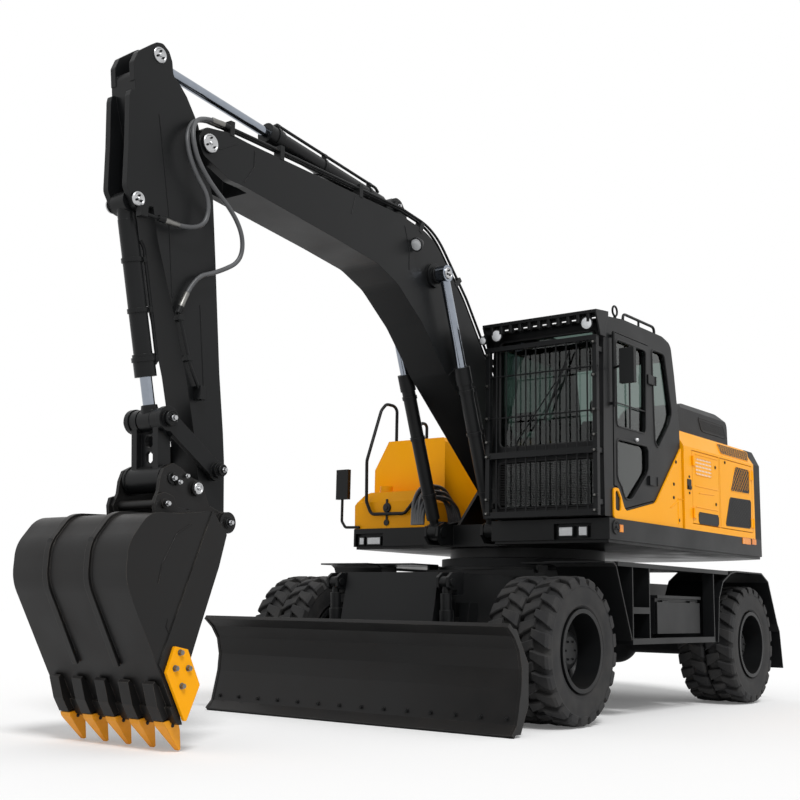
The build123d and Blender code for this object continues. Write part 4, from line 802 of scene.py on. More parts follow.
# %% weld bead tree
bead_tree, given = new_tree("weld_bead", ("Radius", "Float"))
line = put(bead_tree, "GeometryNodeMeshToCurve", links={0: given["Geometry"]})
even = put(bead_tree, "GeometryNodeResampleCurve", {"Length": 0.006}, {0: line.outputs[0]}, mode="LENGTH")
number = put(bead_tree, "GeometryNodeInputIndex")
ripple = put(bead_tree, "ShaderNodeMath", {1: 2.1}, {0: number.outputs[0]}, operation="MULTIPLY")
wave = put(bead_tree, "ShaderNodeMath", links={0: ripple.outputs[0]}, operation="SINE")
swell = put(bead_tree, "ShaderNodeMath", {1: 0.22, 2: 1.0}, {0: wave.outputs[0]}, operation="MULTIPLY_ADD")
sized = put(bead_tree, "GeometryNodeSetCurveRadius",
            links={"Curve": even.outputs[0], "Radius": swell.outputs[0]})
section = put(bead_tree, "GeometryNodeCurvePrimitiveCircle", {"Resolution": 6}, {"Radius": given["Radius"]})
swept = put(bead_tree, "GeometryNodeCurveToMesh", {"Fill Caps": True}, {0: sized.outputs[0],
            "Profile Curve": section.outputs[0]})
end_tree(bead_tree, given, swept.outputs[0])


def weld(name, body, paths, r, finish=dark_steel):
    """Weld beads of one body, each along its own points in mm."""
    seed = bpy.data.meshes.new(name)
    points = [at(*p) for path in paths for p in path]
    edges, start = [], 0
    for path in paths:
        edges += [(start + i, start + i + 1) for i in range(len(path) - 1)]
        start += len(path)
    seed.from_pydata(points, edges, [])
    return piece_from(name, grow(name, seed, bead_tree, Radius=r / 1000, Finish=finish), body, None, 60)


print("tree", bead_tree.name)

# %% [markdown]
# ## Finding a surface
# A fitting has to sit on its plate, neither in it nor in the air. A ray sent at a node from outside
# says where the skin is, so the fittings below are given by their place on the machine's side view
# and find their own depth.

# %% a ray at a node
OUTSIDE = 1700          # rays at the sides start here, in mm from the middle plane
skins = {}


def skin_at(node, start, way=(0, -1, 0)):
    """Where a ray from a point in mm first meets a node, in mm."""
    if node not in skins:
        mesh = nodes[node].data
        skins[node] = BVHTree.FromPolygons([v.co for v in mesh.vertices], [p.vertices for p in mesh.polygons])
    hit = skins[node].ray_cast(at(*start), Vector(way))[0]
    if hit is None:
        print("no skin of", node, "at", start)
        return Vector(start)
    return Vector(((hit.x - SLEW_X) * 1000, hit.y * 1000, hit.z * 1000))


def side_skin(node, side, x, z):
    """Where a node's left (1) or right (-1) face lies behind a point of the side view, in mm."""
    return skin_at(node, (x, OUTSIDE * side, z), (0, -side, 0))


def side_y(node, x, z):
    """How far out a node's left face is, in mm."""
    return side_skin(node, 1, x, z).y


print("rear hood door stands at y", round(side_y("hood_door_rear_left", -1400, 1600)))

# %% [markdown]
# ## Pins and their covers
# Every joint of the arm turns on a hardened pin. Outside, the eye shows as a turned disc, bright or
# painted, on both sides of the arm, and the larger ones are held by three bolts. Each disc is turned as
# one closed piece with a raised rim and a small grease nipple in the middle.

# %% places of the pins in the side view
BOOM_FOOT, BOOM_NOSE = (300, 1690), (3949, 3476)
BOOM_CYL_FOOT, BOOM_CYL_PIN = (946, 1347), (1630, 3205)
ARM_CYL_FOOT, ARM_CYL_PIN = (1990, 3660), (4309, 3918)
BUCKET_CYL_FOOT, BUCKET_PIN = (4417, 3005), (3720, 1225)
GUIDE_PIN, CROSS_PIN = (3752, 1530), (4140, 1786)
HITCH_PIN, EAR_PIN, REAR_PIN = (3939, 1406), (4118, 1448), (4188, 1300)
HITCH_BAR, HITCH_LOCK = (4088, 1428), (4020, 1470)
print("boom nose above the ground", BOOM_NOSE[1])

# %% pin covers
PINS = (("boom", BOOM_NOSE, 58, turned_steel), ("stick", ARM_CYL_PIN, 48, turned_steel),
        ("boom", ARM_CYL_FOOT, 40, dark_steel), ("stick", BUCKET_CYL_FOOT, 43, turned_steel),
        ("boom", BOOM_CYL_PIN, 66, dark_steel), ("guide_links", GUIDE_PIN, 34, dark_steel),
        ("guide_links", CROSS_PIN, 46, dark_steel), ("quick_hitch", HITCH_PIN, 34, turned_steel),
        ("quick_hitch", EAR_PIN, 36, dark_steel), ("bucket", BUCKET_PIN, 30, dark_steel),
        ("upper_frame", BOOM_FOOT, 60, dark_steel), ("upper_frame", BOOM_CYL_FOOT, 52, dark_steel),
        ("boom_cylinder_rods", BOOM_CYL_PIN, 44, turned_steel))
COVER_GAP = 0.5         # the disc floats this far off its eye, so that the arm can turn
BOLTED_FROM = 40        # discs with a larger radius have bolts
BOLT_INSET = 24
pin_bolts = {}
for number, (node, (x, z), r, finish) in enumerate(PINS):
    body = nodes[node]["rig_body"]
    shape = bmesh.new()
    for side in (-1, 1):
        y = abs(side_skin(node, side, x + r * 0.5, z).y) + COVER_GAP
        cover = [(0, -4), (r, -4), (r, 5), (r - 3, 8), (r - 9, 8), (r - 12, 5), (13, 5), (11, 12), (6, 16),
                 (0, 16)]
        turned(shape, [(a, (y + b) * side) for a, b in cover], (x, 0, z), steps=28)
        for a in (math.radians(turn) for turn in (90, 210, 330) if r > BOLTED_FROM):
            spot = (x + (r - BOLT_INSET) * math.cos(a), (y + 6) * side, z + (r - BOLT_INSET) * math.sin(a))
            pin_bolts.setdefault(body, []).append((spot, (0, side, 0), 7))
    piece_from(f"pin_cover_{number}", mesh_from("pin_cover", shape), body, finish, 30)
for body, places in pin_bolts.items():
    bolts("pin_bolts_" + body, body, places, dark_steel)
print("pins", len(PINS))

# %% [markdown]
# ## Wheel hubs
# Each rim is bolted to its hub by ten studs. Further in, ten smaller bolts hold the planetary hub and
# six hold its cover. All three rings come from the tree that repeats a shape round an axis.

# %% hub bolts
for corner in CORNERS:
    x, y, z = wheel_centre("tyres_" + corner)
    side = 1 if y > 0 else -1
    parts = []
    for count, r, size in ((10, 205, 15), (10, 146, 9), (6, 66, 8)):
        seed = bmesh.new()
        hit = side_skin("rims_" + corner, side, x + r, z).y
        head, washer = size * 0.8, size * 1.15
        top, front, back = hit + side * size * 1.5, hit + side * 4, hit - side * 4
        turned(seed, [(0, top), (head, top), (head, front), (washer, front), (washer, back), (0, back)],
               (x + r, 0, z), steps=6)
        parts.append(grow("hub_bolts", mesh_from("stud", seed), around, Count=count, Axis=(0, 1, 0),
                          Centre=at(x, 0, z), Finish=dark_steel))
    piece_from("hub_bolts_" + corner, joined("hub_bolts", parts), "wheels_" + corner, dark_steel, 30)
print("hub bolts done")

# %% [markdown]
# ## Vents and panels of the engine hood
# The hood and the air box breathe through pressed openings filled with wire mesh, and the front door has a
# patch of small holes above a blank plate. Each is a flat outline with a backing behind it, a net or rows of
# holes in front, and a rolled rim, all laid flat first and then carried to its place. Behind the nets the
# backing is black, as painted shade of the opening, and the holes are black studs, as painted shade in each
# hole.

# %% panel builder
CORNER_R, RIM_R, WIRE_R = 0.014, 0.004, 0.0028      # radii in metres


def flat_place(corners):
    """Matrix that carries a flat drawing to the plane of a panel, and the outline drawn flat."""
    points = [at(*c) for c in corners]
    along = (points[1] - points[0]).normalized()
    out = along.cross(points[-1] - points[0]).normalized()
    if out.y + 0.5 * out.z < 0:
        out = -out
    over = out.cross(along)
    place = Matrix.Translation(points[0]) @ Matrix((along, over, out)).transposed().to_4x4()
    home = place.inverted()
    return place, [home @ p for p in points]


def vent(name, corners, body, kind, pitch, front, lift=1.5, back=black_and_painted_shade, rim=None):
    """Panel in an outline given by corners in mm: backing, then a net, holes or nothing, and a rim."""
    place, flat = flat_place(corners)
    sheet = bpy.data.meshes.new("outline")
    sheet.from_pydata([(p.x, p.y, 0) for p in flat], [], [list(range(len(flat)))])
    rounder = bmesh.new()
    rounder.from_mesh(sheet)
    bmesh.ops.bevel(rounder, geom=rounder.verts[:], offset=CORNER_R, segments=3, affect="VERTICES")
    rounder.faces.ensure_lookup_table()
    if rounder.faces[0].normal.z < 0:
        bmesh.ops.reverse_faces(rounder, faces=rounder.faces[:])
    rounder.to_mesh(sheet)
    backing = rounder.copy()
    rounder.free()
    grown = bmesh.ops.extrude_face_region(backing, geom=backing.faces[:])
    bmesh.ops.translate(backing, verts=[v for v in grown["geom"] if isinstance(v, bmesh.types.BMVert)],
                        vec=(0, 0, lift / 1000))
    backing_mesh = mesh_from("backing", backing)
    # A black backing behind a net is painted shade of the opening behind it.
    backing_mesh.materials.append(back)
    parts = [backing_mesh]
    ring = bpy.data.meshes.new("ring")
    ring.from_pydata([v.co.copy() for v in sheet.vertices], [tuple(e.vertices) for e in sheet.edges], [])
    parts.append(grow("rim", ring, bead_tree, Radius=RIM_R, Finish=rim or front))
    if kind == "net":
        parts.append(grow("net", sheet, net_tree, Pitch=pitch / 1000, Turn=math.radians(45), Wire=WIRE_R,
                          Finish=front))
    elif kind == "holes":
        parts.append(grow("holes", sheet, stud_tree, Pitch=pitch / 1000, Turn=0.0, Radius=pitch * 0.0003,
                          Height=2 * (lift + 0.8) / 1000, Finish=front))
    shape = bmesh.new()
    finishes = []
    for part in parts:
        before = len(shape.faces)
        shape.from_mesh(part)
        shape.faces.ensure_lookup_table()
        finish = part.materials[0]
        if finish not in finishes:
            finishes.append(finish)
        for face in shape.faces[before:]:
            face.material_index = finishes.index(finish)
        bpy.data.meshes.remove(part)
    mesh = bpy.data.meshes.new(name)
    shape.to_mesh(mesh)
    shape.free()
    for finish in finishes:
        mesh.materials.append(finish)
    mesh.transform(place)
    return piece_from(name, mesh, body, None, 40)


def on_door(node, corners):
    """Corners in mm on the face of a side door, from their (x, z)."""
    y = max(side_y(node, *corners[0]), side_y(node, *corners[2]))
    return [(x, y + 0.5, z) for x, z in corners]


print("panel builder ready")

# %% hood openings
vent("hood_vent_top", [(-1800, 1225, 2196), (-1100, 1225, 2196), (-1030, 1290, 2095), (-1660, 1290, 2095)],
     "upper", "net", 34, yellow_enamel)
vent("hood_vent_door", on_door("hood_door_rear_left",
                               [(-1317, 2015), (-1640, 2015), (-1640, 1801), (-1200, 1792)]),
     "hood_door_rear_left", "net", 34, yellow_enamel)
vent("hood_vent_low", on_door("hood_door_rear_left",
                              [(-1188, 1734), (-1665, 1745), (-1645, 1499), (-1080, 1490)]),
     "hood_door_rear_left", "net", 26, grained_abs)
# The black studs of this patch are painted shade in its holes.
vent("hood_holes", on_door("hood_door_front_left", [(-470, 2000), (-800, 2000), (-800, 1862), (-470, 1862)]),
     "hood_door_front_left", "holes", 26, black_and_painted_shade, 1.0, yellow_enamel, yellow_enamel)
vent("hood_plate_blank", on_door("hood_door_front_left",
                                 [(-520, 1560), (-925, 1560), (-925, 1470), (-520, 1470)]),
     "hood_door_front_left", "plain", 0, grained_abs, 2.0, grained_abs)
vent("air_box_mesh", [(-1250, 1001, 2460), (-1810, 1001, 2460), (-1880, 1001, 2345), (-1330, 1001, 2345)],
     "upper", "net", 26, grained_abs)
print("vents done")

# %% pressed ribs, seams and locks on the hood
PRESSING_R = 5


def rib(shape, node, start, end):
    """Half-round pressing on a side face between two (x, z) points."""
    r, y = PRESSING_R, side_y(node, *start)
    a, b = Vector((start[0], y, start[1])), Vector((end[0], y, end[1]))
    length = (b - a).length
    turned(shape, [(0, 0), (r, 0), (r, length), (0, length)], a, tuple((b - a).normalized()), steps=8)


for node, lines in (("hood_door_front_left", [((-470, 1770), (-920, 1770)), ((-534, 1715), (-839, 1725)),
                                              ((-470, 1600), (-920, 1600)), ((-470, 2030), (-920, 2030))]),
                    ("engine_housing", [((-150, 1640), (-360, 1640)), ((-150, 1640), (-150, 1440)),
                                        ((-150, 1620), (-10, 1560))])):
    shape = bmesh.new()
    for start, end in lines:
        rib(shape, node, start, end)
    piece_from("pressings_" + node, mesh_from("pressings", shape), nodes[node]["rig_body"], yellow_enamel, 60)
for node, spots in (("engine_housing", [(-123, 1927), (-76, 1748), (-70, 1642), (-162, 1471), (-237, 1444)]),
                    ("hood_door_rear_left", [(-1092, 2025)]),
                    ("hood_door_front_left", [(-880, 1650), (-880, 1960)])):
    shape = bmesh.new()
    for x, z in spots:
        y = side_y(node, x, z)
        turned(shape, [(0, y - 2), (13, y - 2), (13, y + 4), (9, y + 6), (7, y + 4), (0, y + 4)], (x, 0, z),
               steps=20)
    piece_from("locks_" + node, mesh_from("locks", shape), nodes[node]["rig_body"], grained_abs, 30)
shape = bmesh.new()
y = side_y("engine_housing", -344, 1770)
box(shape, (-385, -303), (y - 2, y + 3), (1728, 1812))
box(shape, (-375, -313), (y + 3, y + 12), (1735, 1760))
eased(shape, 3)
for z in (1832, 1701):
    turned(shape, [(0, y - 2), (10, y - 2), (10, y + 5), (0, y + 5)], (-345, 0, z), steps=16)
piece_from("hood_handle_pocket", mesh_from("pocket", shape), "upper", black_and_painted_shade, 30)
print("hood fittings done")

# %% [markdown]
# ## Reflectors and lamps
# The lamps in the deck's corners sit in black housings behind clear, ribbed lenses, two to a side. Round
# work lamps hang below the visor, and amber reflectors mark the side. A lens is a turned or bevelled
# body in front of its housing, so it catches one bright edge, which is what makes it read as glass.

# %% lamps
LAMP_WAY = (1, 0, -0.12)        # work lamps look ahead and a little down


def lamp_block(name, y, z, front):
    """Rectangular lamp: black housing with a rim, and a bevelled lens inside it."""
    shape = bmesh.new()
    box(shape, (front - 28, front - 6), y, z)
    rim = 7
    for ys, zs in (((y[0], y[1]), (z[1] - rim, z[1])), ((y[0], y[1]), (z[0], z[0] + rim)),
                   ((y[0], y[0] + rim), (z[0] + rim, z[1] - rim)),
                   ((y[1] - rim, y[1]), (z[0] + rim, z[1] - rim))):
        box(shape, (front - 6, front), ys, zs)
    piece_from(name + "_housing", mesh_from("housing", shape), "upper", grained_abs, 30)
    shape = bmesh.new()
    box(shape, (front - 7, front - 1), (y[0] + rim + 1, y[1] - rim - 1), (z[0] + rim + 1, z[1] - rim - 1))
    eased(shape, 3, 3)
    piece_from(name + "_lens", mesh_from("lens", shape), "upper", lamp_lens, 30)


lamp_block("deck_lamp_left_inner", (878, 1004), (1280, 1360), 1030)
lamp_block("deck_lamp_left_outer", (1040, 1122), (1280, 1360), 1030)
lamp_block("deck_lamp_right_outer", (-1252, -1190), (1271, 1345), 692)
lamp_block("deck_lamp_right_inner", (-1168, -1014), (1271, 1345), 692)
for number, (x, y, z, r) in enumerate(((1172, 441, 2800, 44), (1172, 1206, 2800, 44), (1147, 300, 2784, 30))):
    shape = bmesh.new()
    turned(shape, [(0, -45), (r * 0.6, -45), (r, -10), (r + 4, -6), (r + 4, 8), (r, 10), (r - 3, 4), (0, 4)],
           (x, y, z), LAMP_WAY, steps=28)
    box(shape, (x - 40, x - 14), (y - 6, y + 6), (z + r - 14, z + r + 14))
    piece_from(f"work_lamp_{number}_housing", mesh_from("housing", shape), "upper", grained_abs, 30)
    shape = bmesh.new()
    turned(shape, [(0, 3), (r - 3, 3), (r - 3, 7), (r * 0.7, 11), (r * 0.35, 13), (0, 14)], (x, y, z),
           LAMP_WAY, steps=28)
    piece_from(f"work_lamp_{number}_lens", mesh_from("lens", shape), "upper", lamp_lens, 40)
for name, x, z in (("long", (-1632, -1442), (1353, 1408)), ("short", (-1761, -1664), (1358, 1408)),
                   ("front", (833, 889), (1316, 1370))):
    y = side_y("upper_frame", sum(x) / 2, sum(z) / 2)
    shape = bmesh.new()
    box(shape, x, (y - 2, y + 5), z)
    eased(shape, 2)
    piece_from("reflector_" + name, mesh_from("reflector", shape), "upper", amber_plastic, 30)
print("lamps done")

# %% [markdown]
# ## The cab's roof, guard and glass
# Above the windscreen a ribbed visor carries the work lamps. A lifting eye, a pipe rail and a small amber
# marker stand on the roof. Rubber seals frame the panes, the guard is held by bolted clamps, and a wiper
# lies across the windscreen.

# %% roof fittings
EYE_X, EYE_R, RAIL_Y, RAIL_HEIGHT = 700, 38, 1190, 92
roof = skin_at("cab_shell", (EYE_X, RAIL_Y, 3400), (0, 0, -1)).z
foot, top = roof - 4, roof + RAIL_HEIGHT
eye = [(EYE_X + EYE_R * math.cos(math.tau * k / 16), RAIL_Y, roof + 84 + EYE_R * math.sin(math.tau * k / 16))
       for k in range(17)]
parts = [tube_along("eye", eye, 8, 1),
         tube_along("eye_foot", [(EYE_X, RAIL_Y, foot), (EYE_X, RAIL_Y, roof + 50)], 12),
         tube_along("rail", [(568, RAIL_Y, foot), (568, RAIL_Y, top), (20, RAIL_Y, top), (20, RAIL_Y, foot)],
                    11, 50),
         tube_along("rail_post", [(300, RAIL_Y, foot), (300, RAIL_Y, top)], 9),
         tube_along("roof_gutter", [(1000, 1262, roof - 66), (700, 1262, roof - 22), (60, 1262, roof - 24),
                                    (-90, 1262, roof - 60)], 10, 60)]
piece_from("roof_rail_and_eye", joined("rail", parts), "upper", dark_steel, 50)
shape = bmesh.new()
spot = skin_at("cab_shell", (-100, 1200, 3400), (0, 0, -1)).z
turned(shape, [(0, -4), (24, -4), (24, 14), (21, 18), (20, 44), (14, 54), (0, 57)], (-100, 1200, spot),
       (0, 0, 1), 24)
piece_from("roof_marker", mesh_from("marker", shape), "upper", amber_plastic, 40)
shape = bmesh.new()
VISOR_RIBS, RIB_PITCH = 11, 82
for k in range(VISOR_RIBS):
    y = 400 + k * RIB_PITCH
    box(shape, (1140, 1188), (y - 13, y + 13), (2806, 2876))
eased(shape, 4, 1)
piece_from("visor_ribs", mesh_from("ribs", shape), "upper", dark_steel, 30)
print("roof at", round(roof))

# %% seals round the panes
def seal(name, outline, y, body, r=7, axis="y"):
    """Rubber cord round a pane, closed on itself, in a side (x, z) or front (y, z) view."""
    spread = (lambda p: (p[0], y, p[1])) if axis == "y" else (lambda p: (y, p[0], p[1]))
    loop = [spread(p) for p in outline]
    middle = tuple((a + b) / 2 for a, b in zip(loop[0], loop[-1]))
    mesh = tube_along(name, [middle, *loop, middle], r, 45)
    return piece_from(name, mesh, body, seal_rubber, 60)


door_y = side_y("cab_door", 340, 2400)
seal("door_seal_upper", [(368, 2735), (872, 2735), (872, 2085), (390, 2085)], door_y, "cab_door")
seal("door_seal_lower", [(385, 1995), (872, 1995), (872, 1705), (805, 1650), (752, 1560), (640, 1565),
                         (352, 1800), (352, 1960)], door_y, "cab_door")
shell_y = side_y("cab_shell", 270, 2840)
seal("quarter_seal", [(258, 2770), (30, 2770), (-95, 2300), (-40, 2210), (170, 2000), (225, 2040)], shell_y,
     "upper")
front_x = skin_at("cab_shell", (1500, 380, 2400), (-1, 0, 0)).x
seal("windscreen_seal", [(400, 2770), (1206, 2770), (1206, 1955), (400, 1955)], front_x, "upper", 9, "x")
seal("lower_screen_seal", [(390, 1845), (1200, 1845), (1200, 1500), (390, 1500)], front_x, "upper", 9, "x")
parts = [tube_along("slider", [(640, door_y - 6, 2735), (640, door_y - 6, 2085)], 7),
         tube_along("inner_rail", [(372, door_y - 6, 2260), (868, door_y - 6, 2260)], 5)]
piece_from("sliding_window_bars", joined("bars", parts), "cab_door", seal_rubber, 50)
shape = bmesh.new()
turned(shape, [(0, -6), (17, -6), (17, 6), (12, 18), (7, 22), (0, 22)], (560, door_y, 2020), steps=24)
piece_from("door_knob", mesh_from("knob", shape), "cab_door", turned_steel, 40)
arm = tube_along("wiper", [(front_x + 12, 560, 1935), (front_x + 20, 560, 1985), (front_x + 20, 900, 2420)],
                 5)
blade = tube_along("wiper_blade", [(front_x + 12, 790, 2140), (front_x + 12, 1010, 2640)], 7)
piece_from("wiper", joined("wiper", [arm, blade]), "upper", grained_abs, 50)
print("cab face at x", round(front_x), "door at y", round(door_y))

# %% guard clamps
shape = bmesh.new()
clamp_bolts = []
for z in (1455, 1560, 1880, 1990, 2170, 2420, 2660):
    for y in (352, 1254):
        box(shape, (1150, 1170), (y - 22, y + 22), (z - 12, z + 12))
        clamp_bolts.append(((1170, y, z), (1, 0, 0), 9))
eased(shape, 3, 1)
piece_from("guard_clamps", mesh_from("clamps", shape), "upper", dark_steel, 30)
bolts("guard_bolts", "upper", clamp_bolts)
shape = bmesh.new()
SLATS, SLAT_PITCH = 26, 12.5
for k in range(SLATS):
    z = 1520 + k * SLAT_PITCH
    box(shape, (1128, 1132), (400, 1195), (z, z + 3))
piece_from("guard_slats", mesh_from("slats", shape), "upper", black_and_painted_shade, 30)
print("guard fittings done")

# %% [markdown]
# ## The operator's seat
# The seat is foam under woven cloth. Foam pushes the cloth out until the seams hold it, so a cushion
# is crowned and its sides pull in between the corners. Each pad starts as a smaller closed block with
# rounded corners, is blown up by a short cloth simulation under pressure, and is smoothed at the end.

# %% pads before they are filled
seat_low, seat_high = [corner * 1000 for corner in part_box("operator_seat")]
seat_x = (seat_low.x - SLEW_X * 1000, seat_high.x - SLEW_X * 1000)
seat_y = (seat_low.y, seat_high.y)
SEAT_MIDDLE = (seat_y[0] + seat_y[1]) / 2


def rounded_block(x, y, z, bevel):
    """Closed block with rounded edges, between pairs in mm."""
    shape = bmesh.new()
    box(shape, x, y, z)
    eased(shape, bevel, 4)
    return mesh_from("pad", shape)


FILL_FRAMES = 12
VOXEL = 0.014


def filled_pad(name, x, y, z, bevel, cap_mm):
    """Cushion blown up from a block: voxel remesh, cloth under pressure, capped movement, one subdivision."""
    mesh = rounded_block(x, y, z, bevel)
    pad = bpy.data.objects.new(name, mesh)
    bpy.context.scene.collection.objects.link(pad)
    remesh = pad.modifiers.new("skin", "REMESH")
    remesh.mode = "VOXEL"
    remesh.voxel_size = VOXEL
    bpy.context.view_layer.update()
    skin = bpy.data.meshes.new_from_object(pad.evaluated_get(bpy.context.evaluated_depsgraph_get()))
    pad.modifiers.clear()
    pad.data = skin
    before = [v.co.copy() for v in skin.vertices]
    cloth = pad.modifiers.new("filling", "CLOTH")
    cloth.settings.use_pressure = True
    cloth.settings.uniform_pressure_force = 4.0
    cloth.settings.effector_weights.gravity = 0.0
    cloth.settings.quality = 4
    for number in range(FILL_FRAMES):
        bpy.context.scene.frame_set(number + 1)
    blown = bpy.data.meshes.new_from_object(pad.evaluated_get(bpy.context.evaluated_depsgraph_get()))
    pad.modifiers.clear()
    for vertex, start in zip(blown.vertices, before):
        move = vertex.co - start
        vertex.co = start + move * min(1.0, cap_mm / 1000 / max(move.length, 1e-6))
    bpy.context.scene.frame_set(1)
    pad.data = blown
    divide = pad.modifiers.new("divide", "SUBSURF")
    divide.levels = divide.render_levels = 1
    bpy.context.view_layer.update()
    final = bpy.data.meshes.new_from_object(pad.evaluated_get(bpy.context.evaluated_depsgraph_get()))
    bpy.data.objects.remove(pad)
    return final


print("seat x", [round(v) for v in seat_x], "y", [round(v) for v in seat_y])

# %% fill and sew the seat
ARMREST_ROOM = 34
half = (seat_y[1] - seat_y[0]) / 2 - ARMREST_ROOM
rear, front = seat_x


def across(reach):
    """Pair of y in mm, the same distance to both sides of the seat's middle."""
    return SEAT_MIDDLE - reach, SEAT_MIDDLE + reach


parts = {"seat_cushion": filled_pad("cushion", (rear + 150, front - 14), across(half), (1806, 1900), 32, 14),
         "seat_back": filled_pad("back", (rear + 60, rear + 150), across(half), (1900, 2270), 34, 14),
         "seat_headrest": filled_pad("headrest", (rear + 50, rear + 120), across(120), (2300, 2452), 30, 10)}
for name, mesh in parts.items():
    pad = piece_from(name, mesh, "upper", seat_cloth, 180)
    if name == "seat_cushion":
        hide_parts("operator_seat")
for name, (x, z), reach in (("seat_piping_front", (front - 20, 1868), half - 30),
                            ("seat_piping_middle", (rear + 400, 1912), half - 20)):
    mesh = tube_along(name, [(x, SEAT_MIDDLE - reach, z), (x, SEAT_MIDDLE, z + 4),
                             (x, SEAT_MIDDLE + reach, z)], 4)
    piece_from(name, mesh, "upper", seal_rubber, 60)
shape = bmesh.new()
box(shape, (rear + 170, front - 60), across(190), (1720, 1792))
box(shape, (rear + 40, rear + 62), across(200), (1880, 2260))
for side in (-1, 1):
    y = SEAT_MIDDLE + side * (half + 20)
    box(shape, (rear + 130, rear + 420), (y - 20, y + 20), (2050, 2085))
    box(shape, (rear + 110, rear + 150), (y - 12, y + 12), (1900, 2060))
    post_y = SEAT_MIDDLE + side * 50
    box(shape, (rear + 70, rear + 86), (post_y - 8, post_y + 8), (2240, 2320))
eased(shape, 6)
piece_from("seat_frame_and_armrests", mesh_from("seat_frame", shape), "upper", grained_abs, 30)
print("seat done")

# %% [markdown]
# ## Inside the cab
# Behind the glass the eye finds a monitor on its arm, levers with rounded knobs on both sides of the
# seat, pedals on the floor, and the trim of the rear wall. Each is a few blocks, turned knobs or bent
# tubes, joined to one piece.

# %% controls
parts = []
for y in (495, 1125):
    parts.append(tube_along("lever", [(560, y, 1990), (590, y, 2090), (600, y, 2180)], 9))
    shape = bmesh.new()
    turned(shape, [(0, -30), (16, -28), (22, -8), (20, 22), (12, 36), (0, 38)], (602, y, 2200), (0.2, 0, 1),
           20)
    parts.append(mesh_from("knob", shape))
shape = bmesh.new()
box(shape, (896, 922), (440, 640), (2090, 2240))
eased(shape, 10, 3)
parts.append(mesh_from("monitor", shape))
parts.append(tube_along("monitor_arm", [(950, 420, 2000), (910, 470, 2060), (908, 520, 2110)], 10))
for y in (700, 790, 900):
    shape = bmesh.new()
    box(shape, (900, 990), (y - 28, y + 28), (1560, 1576))
    eased(shape, 5)
    parts.append(mesh_from("pedal", shape))
    parts.append(tube_along("pedal_arm", [(960, y, 1576), (985, y, 1680), (960, y, 1800)], 8))
piece_from("cab_levers_and_monitor", joined("controls", parts), "upper", grained_abs, 40)
shape = bmesh.new()
box(shape, (-120, -80), (420, 1180), (1450, 2240))
eased(shape, 20, 3)
piece_from("cab_rear_trim", mesh_from("trim", shape), "upper", grained_abs, 40)
print("controls done")

# %% [markdown]
# ## Bucket, teeth and blade
# Steel that digs is held together by big bolts and long welds. Four bolts carry each side cutter, a pin
# locks every tooth on its holder, and a row of plough bolts holds the blade's cutting edge. Weld beads
# run where the wrap ribs, the lugs and the side plates meet the shell.

# %% bolts and tooth pins of the bucket
TOOTH_YS = (-385, -192, 0, 192, 385)
TOOTH_PIN = (4249 - 0.503 * 4 + 4, 137)
places = []
for side in (-1, 1):
    for x, z in ((4288, 510), (4318, 431), (4227, 429), (4266, 340)):
        y = side_skin("side_cutters", side, x, z).y
        places.append(((x, y, z), (0, side, 0), 17))
bolts("cutter_bolts", "bucket", places)
shape = bmesh.new()
x, z = TOOTH_PIN
for y in TOOTH_YS:
    for side in (-1, 1):
        hit = skin_at("bucket_teeth", (x, y + side * 90, z), (0, -side, 0)).y
        turned(shape, [(0, hit - side), (11, hit - side), (11, hit + side * 2), (8, hit + side * 2.5),
                       (0, hit + side * 1.5)], (x, 0, z), steps=16)
piece_from("tooth_pins", mesh_from("tooth_pins", shape), "bucket", black_and_painted_shade, 30)
# Black discs on the wrap ribs are painted shade in the rib holes.
shape = bmesh.new()
for y in (-170, 170):
    spot = skin_at("bucket", (5000, y, 1075), (-1, 0, 0))
    turned(shape, [(0, -2), (20, -2), (20, 1.5), (0, 1.5)], spot, (1, 0, 0.1), 20)
piece_from("rib_holes", mesh_from("rib_holes", shape), "bucket", black_and_painted_shade, 30)
print("bucket bolts", len(places))

# %% weld beads of the bucket
paths = []
for side in (-1, 1):
    for y in (144, 196):
        paths.append([tuple(skin_at("bucket", (5000, side * y, z), (-1, 0, 0)))
                      for z in range(1080, 440, -40)])
    edge = side_skin("bucket", side, 4400, 700).y
    paths.append([(4230, edge, 1180), (4330, edge, 1120), (4420, edge, 960), (4440, edge, 860)])
    paths.append([(4320, edge, 560), (4370, edge, 640), (4360, edge, 680)])
weld("bucket_welds", "bucket", paths, 4, scoured_steel)
EDGE_BOLTS, EDGE_REACH = 14, 1230
places = []
for k in range(EDGE_BOLTS):
    y = -EDGE_REACH + k * 2 * EDGE_REACH / (EDGE_BOLTS - 1)
    spot = skin_at("dozer_blade", (3200, y, 105), (-1, 0, 0))
    places.append((tuple(spot), (1, 0, -0.3), 13))
bolts("blade_edge_bolts", "blade", places, dark_steel)
print("welds", len(paths))

# %% [markdown]
# ## Lines, clamps and fittings along the arm
# Oil reaches every cylinder through steel tube held by clamps, and short hoses bridge the moving
# joints. The barrels carry bands, with a block on each that holds the feed tube. The plates of boom
# and stick are welded along seams that run on both of their sides.

# %% boom and stick welds
ARM_SEAMS = {"boom": ([(3860, 3470), (3700, 3560)], [(3640, 3330), (3560, 3450), (3560, 3560)],
                      [(2600, 3420), (2560, 3560)], [(1990, 3500), (1930, 3330), (1930, 3180)],
                      [(1240, 2620), (1420, 2480)]),
             "stick": ([(4290, 3560), (4180, 3000), (4120, 2500)], [(3900, 2500), (3840, 2000)])}
for node, seams in ARM_SEAMS.items():
    weld(node + "_welds", node, [[tuple(side_skin(node, side, x, z)) for x, z in seam]
                                 for side in (-1, 1) for seam in seams], 3.5)

